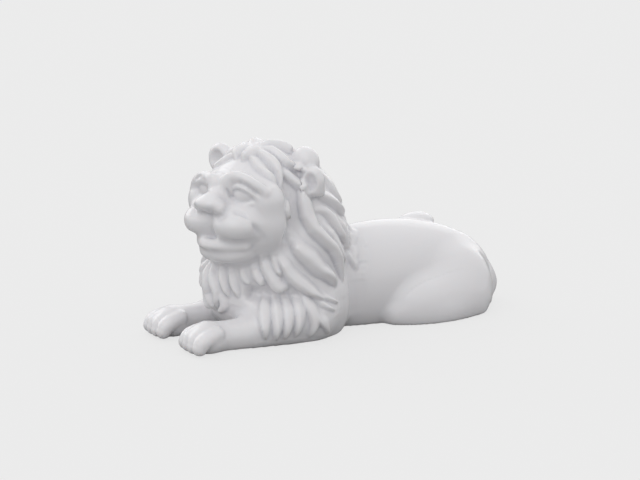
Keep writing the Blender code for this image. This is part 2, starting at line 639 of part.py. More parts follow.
def points_of(mesh):
    """A mesh's points as an array."""
    points = np.empty(len(mesh.vertices) * 3, np.float32)
    mesh.vertices.foreach_get("co", points)
    return points.reshape(-1, 3).astype(float)


def edges_of(mesh):
    """A mesh's edges as an array of pairs."""
    edges = np.empty(len(mesh.edges) * 2, np.int32)
    mesh.edges.foreach_get("vertices", edges)
    return edges.reshape(-1, 2)


def evened(points, edges):
    """Each point moved half of the way to the mean of its neighbours."""
    total = np.zeros_like(points)
    count = np.bincount(edges.ravel(), minlength=len(points))
    for a, b in (edges.T, edges.T[::-1]):
        for axis in range(3):
            total[:, axis] += np.bincount(a, points[b, axis], len(points))
    return (points + total / count[:, None]) / 2


def remeshed(obj, voxel):
    """Gives an object one closed skin on a grid this fine."""
    remesh = obj.modifiers.new("skin", "REMESH")
    remesh.mode = "VOXEL"
    remesh.voxel_size = voxel
    skin = bpy.data.meshes.new_from_object(obj.evaluated_get(bpy.context.evaluated_depsgraph_get()))
    obj.modifiers.clear()
    obj.data = skin


def carved(points, edges):
    """The skin's points on the smooth form, evened out, with the locks raised and a flat underside."""
    points = press(np.maximum(points, (-np.inf, -np.inf, 0)), smooth_form)
    for _ in range(EVEN_ROUNDS):
        points = press(evened(points, edges), smooth_form, 2)
    _, normal = slopes(points, smooth_form)
    normal = unit(normal)
    points = points + normal * lock_relief(points, normal, all_locks())[:, None]
    points[points[:, 2] < FOOT, 2] = 0
    return points


def build_lion(voxel=VOXEL):
    """The lion as one object, in metres, on its flat underside."""
    lion = bpy.data.objects.new("lion", blank_mesh())
    collection = bpy.data.collections.new("porcelain_lion")
    bpy.context.scene.collection.children.link(collection)
    collection.objects.link(lion)
    remeshed(lion, voxel)
    points = carved(points_of(lion.data), edges_of(lion.data))
    lion.data.vertices.foreach_set("co", points.astype(np.float32).ravel())
    lion.data.transform(Matrix.Scale(UNIT, 4))
    lion.data.shade_smooth()
    return lion


def faceted(lion, triangles):
    """Lets a Decimate modifier thin the skin to this many triangles."""
    faces = sum(len(face.vertices) - 2 for face in lion.data.polygons)
    decimate = lion.modifiers.new("facets", "DECIMATE")
    decimate.ratio = triangles / faces


def glazed(lion):
    """Gives the lion its white porcelain glaze."""
    glaze = bpy.data.materials.new("white_glaze")
    glaze.use_nodes = True
    shader = glaze.node_tree.nodes["Principled BSDF"]
    shader.inputs["Base Color"].default_value = PORCELAIN
    shader.inputs["Roughness"].default_value = GLAZE_ROUGHNESS
    lion.data.materials.append(glaze)


def main():
    for obj in list(bpy.data.objects):
        bpy.data.objects.remove(obj)
    lion = build_lion()
    faceted(lion, TRIANGLES)
    glazed(lion)


if __name__ == "__main__":
    main()
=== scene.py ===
"""Looks of the lying porcelain lion: its carved skin under a white glaze, on a pale studio floor."""

import logging
import math
from abc import ABC, abstractmethod
from dataclasses import dataclass, fields
from enum import Enum
from typing import Callable, Iterator

import bpy
import numpy as np
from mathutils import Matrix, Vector


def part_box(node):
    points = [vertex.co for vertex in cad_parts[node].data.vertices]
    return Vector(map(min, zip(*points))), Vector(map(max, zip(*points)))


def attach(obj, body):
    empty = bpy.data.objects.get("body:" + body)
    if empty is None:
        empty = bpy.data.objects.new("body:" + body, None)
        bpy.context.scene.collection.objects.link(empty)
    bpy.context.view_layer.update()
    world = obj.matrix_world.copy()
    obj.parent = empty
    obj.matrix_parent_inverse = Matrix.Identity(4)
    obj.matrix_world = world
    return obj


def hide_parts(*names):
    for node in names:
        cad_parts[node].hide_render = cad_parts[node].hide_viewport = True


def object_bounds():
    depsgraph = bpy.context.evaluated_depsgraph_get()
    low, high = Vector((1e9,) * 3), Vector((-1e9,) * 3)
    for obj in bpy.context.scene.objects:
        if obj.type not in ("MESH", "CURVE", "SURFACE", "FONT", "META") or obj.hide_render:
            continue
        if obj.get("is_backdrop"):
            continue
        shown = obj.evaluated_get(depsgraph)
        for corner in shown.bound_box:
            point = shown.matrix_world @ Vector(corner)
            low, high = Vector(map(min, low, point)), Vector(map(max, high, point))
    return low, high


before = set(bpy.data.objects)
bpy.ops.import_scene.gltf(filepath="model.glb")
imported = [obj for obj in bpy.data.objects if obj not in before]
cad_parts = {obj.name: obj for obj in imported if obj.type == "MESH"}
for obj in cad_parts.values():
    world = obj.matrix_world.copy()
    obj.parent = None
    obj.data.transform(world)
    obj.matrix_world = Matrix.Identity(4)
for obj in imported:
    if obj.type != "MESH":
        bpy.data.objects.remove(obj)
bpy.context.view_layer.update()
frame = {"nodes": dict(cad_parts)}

log = logging.getLogger("porcelain_lion")

Array = np.ndarray
Triple = tuple[float, float, float]
Colour = tuple[float, float, float, float]
Form = Callable[[Array], Array]

# The figure is a free form, so its sizes are shares of its own length.
SHARES_LONG = 160.2  # tips of the forepaws to the back of the tail
OUTSIDE = 6.0  # value of the clay where no mass is near
MARGIN = 2.0  # how far beyond its soft edge a mass is worked out
LOCK_MARGIN = 1.0  # how far beyond its half width a lock is worked out
PROBE = 0.05  # step for measuring slopes
GENTLEST = 0.25  # least square of a slope that a move is divided by
TINY = 1e-9


class Sides(Enum):
    """Which sides carry a mass, a mark or a lock: the place as given, its mirror image, or both."""

    ONE = (1,)
    FAR = (-1,)
    BOTH = (1, -1)


class Frame(Enum):
    """What a tress is drawn in: the head's own coordinates, or angles and heights round the mane's axis."""

    HEAD = "head"
    MANE = "mane"


def held(owner: object) -> list[object]:
    """What the fields of a dataclass hold, in order."""
    return [getattr(owner, field.name) for field in fields(owner)]


def turn_z(degrees: float) -> Array:
    """Matrix that takes row vectors into a frame turned about the upright axis.

    Args:
        degrees: the turn.

    Returns:
        A 3 by 3 matrix.
    """
    c, s = math.cos(math.radians(degrees)), math.sin(math.radians(degrees))
    return np.array(((c, -s, 0), (s, c, 0), (0, 0, 1)))


def merged(a: Array, b: Array, soft: float) -> Array:
    """The smaller of two values, with a fillet: where they differ by less than soft, a parabola is taken off.

    Args:
        a: first values.
        b: second values.
        soft: width of the fillet.

    Returns:
        The merged values.
    """
    overlap = np.maximum(soft - np.abs(a - b), 0)
    return np.minimum(a, b) - overlap**2 / (4 * max(soft, TINY))


def unit(vectors: Array) -> Array:
    """Vectors scaled to a length of one."""
    return vectors / np.maximum(np.linalg.norm(vectors, axis=-1, keepdims=True), TINY)


def curved(steps: Array, between: int) -> Array:
    """A smooth curve through given steps: a cubic whose slope at each one is half its neighbours' gap.

    Args:
        steps: rows of numbers, one row for each step.
        between: how many steps each given one becomes.

    Returns:
        The rows of the finer chain.
    """
    steps = np.array(steps, float)
    ends = np.concatenate((2 * steps[:1] - steps[1:2], steps, 2 * steps[-1:] - steps[-2:-1]))
    a, b, c, d = (ends[i : len(steps) - 1 + i, None] for i in range(4))
    t = np.linspace(0, 1, between, endpoint=False)[None, :, None]
    curve = b + (c - a) * t / 2 + (a - 2.5 * b + 2 * c - d / 2) * t**2 + (1.5 * (b - c) + (d - a) / 2) * t**3
    return np.concatenate((curve.reshape(-1, steps.shape[1]), steps[-1:]))


def inside(points: Array, low: Array, high: Array, margin: float) -> Array:
    """Which points lie in a box made larger by a margin.

    Args:
        points: rows of x, y, z.
        low: the box's lowest corner.
        high: its highest corner.
        margin: how much larger the box is made.

    Returns:
        The rows' numbers.
    """
    return np.flatnonzero(((points > low - margin) & (points < high + margin)).all(axis=1))


def to_stretch(points: Array, start: Array, end: Array) -> tuple[Array, Array]:
    """The nearest place on a straight stretch.

    Args:
        points: rows of x, y, z.
        start: where the stretch starts.
        end: where it ends.

    Returns:
        The place as a share of the stretch, and the vector from there to the point.
    """
    along = end - start
    share = np.clip((points - start) @ along / (along @ along), 0, 1)
    return share, points - start - share[:, None] * along


def nearest_on_path(points: Array, path: Array) -> tuple[Array, Array, Array]:
    """The nearest place on a path: the least of the distances to its straight stretches.

    Args:
        points: rows of x, y, z.
        path: rows of x, y, z, in order.

    Returns:
        The distance, the place counted in steps, and the vector from the path to the point.
    """
    best = np.full(len(points), np.inf)
    where = np.zeros(len(points))
    away = np.zeros_like(points)
    for number, (start, end) in enumerate(zip(path[:-1], path[1:])):
        share, offset = to_stretch(points, start, end)
        far = np.linalg.norm(offset, axis=1)
        closer = far < best
        best = np.where(closer, far, best)
        where = np.where(closer, number + share, where)
        away = np.where(closer[:, None], offset, away)
    return best, where, away


class Mass(ABC):
    """A mass of clay that is merged into the figure, given as it is on the left where both sides carry it."""

    soft: float
    sides: Sides

    @abstractmethod
    def box(self) -> tuple[Array, Array]:
        """The lowest and the highest corner of a box round the mass."""

    @abstractmethod
    def value(self, points: Array) -> Array:
        """How far each point is outside the mass, below 0 inside it."""

    def shape(self, value: Array, points: Array) -> None:
        """Merges the mass into the clay's value, on each side that carries it.

        Args:
            value: the clay's value at the points, changed in place.
            points: rows of x, y, z.
        """
        for side in self.sides.value:
            mirrored = points * (side, 1, 1)
            near = inside(mirrored, *self.box(), self.soft + MARGIN)
            value[near] = merged(value[near], self.value(mirrored[near]), self.soft)


@dataclass(frozen=True)
class Ball(Mass):
    """An ellipsoid of clay, turned about the upright axis by its tilt."""

    centre: Triple
    size: Triple
    tilt: float = 0.0
    soft: float = 4.0
    sides: Sides = Sides.ONE

    def box(self) -> tuple[Array, Array]:
        """The lowest and the highest corner of a box round the ball."""
        across = max(self.size[:2])
        size = np.array((across, across, self.size[2]) if self.tilt else self.size)
        return np.array(self.centre) - size, np.array(self.centre) + size

    def value(self, points: Array) -> Array:
        """How far each point is outside the ball: its radius in ball sizes, less one, over the slope of that.

        Args:
            points: rows of x, y, z.

        Returns:
            One value for each point.
        """
        local = (points - np.array(self.centre)) @ turn_z(self.tilt)
        size = np.array(self.size)
        ratio = np.linalg.norm(local / size, axis=1)
        slope = np.linalg.norm(local / size**2, axis=1)
        return ratio * (ratio - 1) / np.maximum(slope, TINY)


@dataclass(frozen=True)
class Limb(Mass):
    """A chain of round steps, each given by its place and its radius."""

    steps: tuple[tuple[float, float, float, float], ...]
    soft: float = 4.0
    sides: Sides = Sides.ONE
    between: int = 4

    def box(self) -> tuple[Array, Array]:
        """The lowest and the highest corner of a box round the chain."""
        chain = curved(self.steps, self.between)
        radius = chain[:, 3:].max()
        return chain[:, :3].min(axis=0) - radius, chain[:, :3].max(axis=0) + radius

    def value(self, points: Array) -> Array:
        """How far each point is outside the chain: the least distance to a stretch, less its radius there.

        Args:
            points: rows of x, y, z.

        Returns:
            One value for each point.
        """
        chain = curved(self.steps, self.between)
        value = np.full(len(points), OUTSIDE)
        for start, end in zip(chain[:-1], chain[1:]):
            share, offset = to_stretch(points, start[:3], end[:3])
            away = np.linalg.norm(offset, axis=1)
            value = np.minimum(value, away - start[3] - share * (end[3] - start[3]))
        return value


@dataclass(frozen=True)
class Ear(Mass):
    """A round cup of an ear: a flat ball with a smaller one taken out of its front."""

    centre: Triple
    size: Triple
    turn: float
    soft: float = 1.6
    sides: Sides = Sides.ONE
    hollow_share: float = 0.68
    hollow_depth: float = 0.8
    hollow_forward: float = 1.1
    rim: float = 1.0

    def box(self) -> tuple[Array, Array]:
        """The lowest and the highest corner of a box round the ear."""
        return np.array(self.centre) - max(self.size), np.array(self.centre) + max(self.size)

    def value(self, points: Array) -> Array:
        """How far each point is outside the cup: the larger of the shell's value and the hollow's, negated.

        Args:
            points: rows of x, y, z.

        Returns:
            One value for each point.
        """
        facing = np.array((math.sin(math.radians(self.turn)), math.cos(math.radians(self.turn)), 0))
        wide, deep, tall = self.size
        shell = Ball(self.centre, self.size, -self.turn)
        middle = np.array(self.centre) + facing * deep * self.hollow_forward
        share = self.hollow_share
        hollow = Ball(tuple(middle), (wide * share, deep * self.hollow_depth, tall * share), -self.turn)
        return -merged(-shell.value(points), hollow.value(points), self.rim)


@dataclass(frozen=True)
class Mark:
    """A soft groove drawn along points on the surface, or a ridge where its depth is below 0."""

    points: tuple[Triple, ...]
    width: float
    depth: float
    sides: Sides = Sides.BOTH
    between: int = 3
    reach: float = 2.5
    end_depth: float = 0.35
    end_climb: float = 6.0

    def shape(self, value: Array, points: Array) -> None:
        """Adds the groove to the clay's value: its depth, which falls off as a bell curve from its line.

        Args:
            value: the clay's value at the points, changed in place.
            points: rows of x, y, z.
        """
        for side in self.sides.value:
            path = curved(self.points, self.between) * (side, 1, 1)
            near = inside(points, path.min(axis=0), path.max(axis=0), self.width * self.reach)
            away, where, _ = nearest_on_path(points[near], path)
            share = where / (len(path) - 1)
            fade = np.clip(np.minimum(share, 1 - share) * self.end_climb + self.end_depth, 0, 1)
            value[near] += self.depth * fade * np.exp(-((away / self.width) ** 2))


@dataclass(frozen=True)
class Lock:
    """A lock of the mane: its root round the upright axis, its leans from straight down, and its size."""

    angle: float
    height: float
    first_lean: float
    last_lean: float
    length: float
    width: float
    rise: float

    def numbers(self) -> Array:
        """The lock's fields in order."""
        return np.array(held(self), float)


@dataclass(frozen=True)
class Row:
    """Locks set evenly from a first one to a last one."""

    count: int
    first: Lock
    last: Lock
    sides: Sides = Sides.BOTH

    def locks(self) -> Iterator[Lock]:
        """Each lock of the row."""
        for share in np.linspace(0, 1, self.count):
            yield Lock(*(self.first.numbers() * (1 - share) + self.last.numbers() * share))


@dataclass(frozen=True)
class Hair:
    """A lock on the head: its root, its first and last directions as the head has them, and its size."""

    root: Triple
    first: Triple
    last: Triple
    length: float
    width: float
    rise: float


@dataclass(frozen=True)
class Tress:
    """A lock drawn step by step: left, forward and up on the head, or angle and height round the mane."""

    path: tuple[tuple[float, ...], ...]
    width: float
    rise: float
    sides: Sides = Sides.BOTH
    frame: Frame = Frame.HEAD

    def steps(self, count: int) -> Array:
        """The drawn line as a number of even steps, on a smooth curve through its points.

        Args:
            count: how many steps.

        Returns:
            One row more than that.
        """
        fine = curved(self.path, 8)
        far = np.concatenate(([0], np.cumsum(np.linalg.norm(np.diff(fine, axis=0), axis=1))))
        even = np.linspace(0, far[-1], count + 1)
        return np.stack([np.interp(even, far, column) for column in fine.T], axis=1)


def drawn(sides: Sides, *locks: tuple[tuple[tuple[float, float], ...], float, float]) -> tuple[Tress, ...]:
    """Tresses drawn round the mane's axis.

    Args:
        sides: which sides carry them.
        locks: the path, the half width and the rise of each.

    Returns:
        The tresses, in order.
    """
    return tuple(Tress(*lock, sides, Frame.MANE) for lock in locks)


class Clay:
    """A sub-assembly whose dataclass fields are masses and marks, in the order in which they are worked."""

    def worked(self) -> list[Mass | Mark]:
        """The masses and marks among the fields, in order."""
        return [item for item in held(self) if isinstance(item, (Mass, Mark))]

    def shape_into(self, value: Array, points: Array) -> None:
        """Merges each mass and presses in each mark, in order.

        Args:
            value: the clay's value at the points, changed in place.
            points: rows of x, y, z.
        """
        for item in self.worked():
            item.shape(value, points)


@dataclass
class Trunk(Clay):
    """The long body, the haunches with their folded hind legs, and the mane's and the chest's mass."""

    barrel: Ball = Ball((0, 22, 17.5), (18.5, 50, 24), 0, 0)
    rump: Ball = Ball((0, 47, 6), (15.5, 32, 26), 0, 8)
    thigh: Ball = Ball((13.0, 43, 7.0), (12.5, 26, 15.0), 4, 3.5, Sides.BOTH)
    lower_leg: Limb = Limb(((15.5, 57, 6, 5.5), (20.0, 42, 4, 4.4), (15.5, 21, 4, 4.4)), 4, Sides.BOTH)
    hip: Ball = Ball((11.5, 53, 12), (10.0, 17, 16), 0, 6, Sides.BOTH)
    heel: Ball = Ball((15.5, 60, 6.5), (5.5, 6.5, 8.5), 0, 3, Sides.BOTH)
    mane_block: Ball = Ball((0, -24, 30), (25.5, 26.5, 42), 0, 6)
    shoulder: Ball = Ball((12.5, -24, 13), (14.5, 25, 20), 0, 5, Sides.BOTH)
    chest: Ball = Ball((0, -38, 24), (16.5, 20, 25), 0, 6)
    mane_edge: Mark = Mark(((20, 1, 5), (20, 1, 14), (19, 1, 24), (15.5, 1.5, 33), (9, 2, 39)), 4.0, 3.0)
    chest_hollow: Mark = Mark(
        ((12, -46, 21.5), (17, -42.5, 20.5), (22, -36.5, 19.5), (25, -29.5, 18.5)), 3.6, 4.2
    )


@dataclass
class Forelegs(Clay):
    """The two forearms on the table and their paws with four toes each."""

    left_forearm: Limb = Limb(
        (
            (20, -20, 10, 9), (19.0, -40, 7.5, 8.2), (18.0, -50, 5.6, 6.8), (17.2, -58, 5.2, 6.4),
            (17.0, -66, 5.4, 6.5),
        )
    )
    left_paw: Ball = Ball((17.0, -67.0, 5.0), (8.2, 8.0, 6.0), 0, 2.5)
    right_forearm: Limb = Limb(
        ((-20, -20, 10, 9), (-17.5, -42, 7.0, 7.8), (-15.2, -54, 5.4, 6.4), (-14.2, -67, 5.4, 6.3))
    )
    right_paw: Ball = Ball((-14.0, -68.5, 5.0), (8.2, 8.0, 6.0), 0, 2.5)
    toe_rows: tuple[tuple[float, float], ...] = ((17.0, -68.5), (-14.0, -70.0))
    toe_places: tuple[float, ...] = (-6.2, -2.1, 2.1, 6.2)
    toe_back: tuple[float, float, float, float] = (0.8, 3.5, 8.6, 3.3)
    toe_bend: tuple[float, float, float, float] = (1.0, 3.2, 6.5, 3.4)
    toe_tip: tuple[float, float, float, float] = (1.02, 5.2, 3.4, 3.0)
    toe_drop: float = 0.12
    toe_soft: float = 0.8

    def worked(self) -> list[Mass | Mark]:
        """The forearms and paws, and each toe as a short limb over the paw's front."""
        return super().worked() + [self.toe(row, place) for row in self.toe_rows for place in self.toe_places]

    def toe(self, row: tuple[float, float], place: float) -> Limb:
        """One toe: it comes over the paw, bends at the knuckle and drops to the table. Each of its steps
        holds its share of the place, how far it is behind or ahead of the paw, its height and its radius.

        Args:
            row: x and y of the paw's middle.
            place: how far the toe is to the side of that.

        Returns:
            The toe.
        """
        x, y = row
        drop = self.toe_drop * abs(place)
        share, behind, height, radius = self.toe_back
        back = (x + share * place, y + behind, height - drop, radius)
        share, ahead, height, radius = self.toe_bend
        bend = (x + share * place, y - ahead + drop, height - drop, radius)
        share, ahead, height, radius = self.toe_tip
        tip = (x + share * place, y - ahead + drop, height, radius)
        return Limb((back, bend, tip), self.toe_soft)


@dataclass
class Tail(Clay):
    """The tail, which comes round the right haunch and lies over the back with its tuft."""

    tail: Limb = Limb(
        (
            (0, 62, 25, 6.5), (0, 70, 18, 6.0), (0, 76, 9, 5.6), (-5, 76.5, 5.0, 5.0),
            (-13, 72, 5.0, 4.6), (-20, 64, 7, 4.2), (-23, 55, 12, 4), (-22, 46, 19, 3.9),
            (-18, 40, 27, 3.8), (-12, 38, 34.5, 3.8),
        ),
        2.2,
    )
    tuft: Ball = Ball((-8, 45, 36.8), (5.6, 10, 4.6), 12, 1.5)


@dataclass
class Head(Clay):
    """The head in its own coordinates, left, forward and up from its origin, with the face's creases."""

    cranium: Ball = Ball((0, 5, 8.5), (18.0, 19, 20.0), 0, 6)
    hair_back: Ball = Ball((0, -3, 4), (22, 18, 18), 0, 3)
    crown_dome: Ball = Ball((15.8, -4.5, 21.5), (6.4, 5.2, 6.6), 0, 2.0)
    ear_root: Ball = Ball((17.2, -4.0, 16.0), (4.6, 3.6, 5.2), 0, 2)
    forehead: Ball = Ball((0, 16.0, 12.5), (15.0, 12.0, 8.0), 0, 4)
    cheek: Ball = Ball((12.6, 15.2, 0), (10.2, 11.0, 12.6), 0, 4, Sides.BOTH)
    temple: Ball = Ball((12.8, 16.5, 9.5), (9.2, 8.6, 7.4), 0, 4, Sides.BOTH)
    far_cheekbone: Ball = Ball((-14.5, 20.0, 6.0), (8.6, 7.6, 8.0), 0, 4)
    maxilla: Ball = Ball((6.6, 22, 3.0), (9.0, 11.0, 8.0), 15, 3, Sides.BOTH)
    jaw: Ball = Ball((0, 16, -8.5), (15.5, 14, 7.5), 0, 4)
    chin: Ball = Ball((0, 24.2, -11.4), (12.8, 9.8, 6.8), 0, 2.5)
    lower_lip: Limb = Limb(
        (
            (-12.5, 27.0, -8.0, 1.8), (-6, 32.4, -8.0, 2.0), (0, 34.0, -8.2, 2.2), (6, 32.4, -8.0, 2.0),
            (12.5, 27.0, -8.0, 1.8),
        ),
        2,
    )
    bridge: Limb = Limb(((0, 22, 12.0, 5.4), (0, 28, 10.0, 4.8), (0, 33.2, 8.6, 3.9)), 3)
    inner_brow: Ball = Ball((4.2, 26.6, 14.4), (3.7, 3.8, 5.4), 0, 2.0, Sides.BOTH)
    pad: Ball = Ball((8.2, 26.4, -0.3), (9.8, 10.0, 7.2), 26, 3.0, Sides.BOTH)
    nose: Ball = Ball((0, 34.4, 8.4), (6.2, 4.8, 3.2), 0, 1.6)
    nostril: Ball = Ball((5.4, 32.8, 6.6), (2.6, 3.6, 2.8), 0, 1.6, Sides.BOTH)
    eye_socket: Mark = Mark(((6.5, 28, 12.4), (9.5, 27.6, 11.6), (14.5, 25.6, 10.6)), 2.6, 0.9)
    face_edge: Mark = Mark(
        (
            (18.6, 10.5, 18.5), (20.6, 8.6, 13), (21.6, 8.0, 7),
            (22.2, 8.2, 1), (22.4, 9.2, -4), (21.6, 10.8, -9),
        ),
        3.2,
        6.5,
    )
    chin_shadow: Mark = Mark(((0, 30, -19.6), (7, 28.5, -19.6), (12.5, 25, -18.8), (17, 20, -16.5)), 2.6, 4.2)
    left_brow: Limb = Limb(
        (
            (1.6, 26.0, 15.2, 2.8), (4.4, 26.4, 17.8, 3.2), (8.0, 25.8, 18.8, 3.2),
            (12, 24.6, 17.6, 3.0), (15.5, 22.9, 15.4, 2.6), (18.2, 21.0, 13.2, 1.9),
        ),
        1.5,
    )
    right_brow: Limb = Limb(
        (
            (-1.6, 26.0, 15.2, 2.8), (-4.8, 26.2, 16.6, 3.0), (-9.0, 25.6, 16.8, 3.0),
            (-13.0, 24.8, 15.6, 2.8), (-17.0, 23.6, 13.4, 2.5), (-20.0, 22.0, 10.8, 1.8),
        ),
        1.5,
    )
    eyeball: Ball = Ball((9.6, 23.4, 12.0), (5.8, 4.3, 4.8), -14, 0.8, Sides.BOTH)
    upper_lid: Limb = Limb(
        (
            (5.2, 26.4, 12.6, 0.8), (7.2, 27.5, 14.6, 1.0), (10.2, 27.4, 15.4, 1.1),
            (13.8, 25.8, 13.8, 1.1), (17.0, 23.2, 10.4, 0.9),
        ),
        0.8,
        Sides.BOTH,
    )
    lower_lid: Limb = Limb(
        ((5.2, 26.2, 9.6, 0.8), (8.0, 27.1, 8.0, 1.0), (11.2, 26.6, 7.8, 1.0), (14.8, 24.8, 8.8, 0.8)),
        0.8,
        Sides.BOTH,
    )
    left_ear: Ear = Ear((22.8, -1.8, 15.0), (4.9, 3.6, 6.3), 14)
    right_ear: Ear = Ear((-21.0, 6.0, 20.4), (6.8, 3.6, 6.6), -4)
    eye_corner: Mark = Mark(((4.8, 28.8, 15.0), (5.2, 28.2, 12.6), (5.8, 27.0, 10.2)), 1.2, 1.2)
    brow_crease: Mark = Mark(((10.5, 28.0, 17.4), (13.8, 26.8, 15.8), (17.2, 23.6, 12.8)), 0.9, 0.7)
    brow_top: Mark = Mark(
        (
            (-16, 21, 19), (-10, 24.5, 20.5), (-3, 26, 20.2), (2, 26, 21.0), (8, 25.5, 22.8),
            (13, 23.5, 21.2), (17.5, 20, 18),
        ),
        1.8,
        1.8,
        Sides.ONE,
    )
    philtrum: Mark = Mark(((0.6, 38, 4.4), (0.4, 37.4, -4.8)), 1.3, 3.0, Sides.ONE)
    under_nose: Mark = Mark(((0, 38.6, 4.2), (3.4, 37.6, 4.2), (6.6, 35.4, 3.6)), 1.4, 1.8)
    nose_wing: Mark = Mark(((7.6, 35, 3.4), (8.8, 33, 6.6), (7.4, 29.4, 10.4)), 1.1, 1.2)
    mouth: Mark = Mark(
        ((0, 38, -6.4), (5, 37, -6.8), (11, 33.4, -7.2), (16.5, 28.0, -7.2), (20.5, 23, -6.6)), 1.5, 6.0
    )
    lip_fold: Mark = Mark(((0, 36, -12.0), (8, 33.4, -12.0), (14, 28.4, -11.4)), 1.3, 0.8)
    cheek_fold: Mark = Mark(
        ((9.5, 32, 7.0), (14.5, 28.5, 3.2), (18.4, 25.4, -2.4), (19.4, 23, -6.0)), 1.3, 1.1
    )
    origin: Triple = (0.0, -30.0, 50.0)
    turn: float = 19.0

    def inward(self, points: Array) -> Array:
        """Body coordinates to head coordinates: moved to the head's origin and turned with the head.

        Args:
            points: rows of x, y, z.

        Returns:
            Rows of left, forward and up.
        """
        c, s = math.cos(math.radians(self.turn)), math.sin(math.radians(self.turn))
        x, y, z = (points - np.array(self.origin)).T
        return np.stack((x * c + y * s, x * s - y * c, z), axis=1)

    def outward(self, points: Array) -> Array:
        """Head coordinates back to body coordinates.

        Args:
            points: rows of left, forward and up.

        Returns:
            Rows of x, y, z.
        """
        return self.facing(points) + np.array(self.origin)

    def facing(self, ways: Array) -> Array:
        """Directions of the head as directions of the body.

        Args:
            ways: rows of left, forward and up.

        Returns:
            Rows of x, y, z.
        """
        c, s = math.cos(math.radians(self.turn)), math.sin(math.radians(self.turn))
        left, forward, up = ways.T
        return np.stack((left * c + forward * s, left * s - forward * c, up), axis=1)


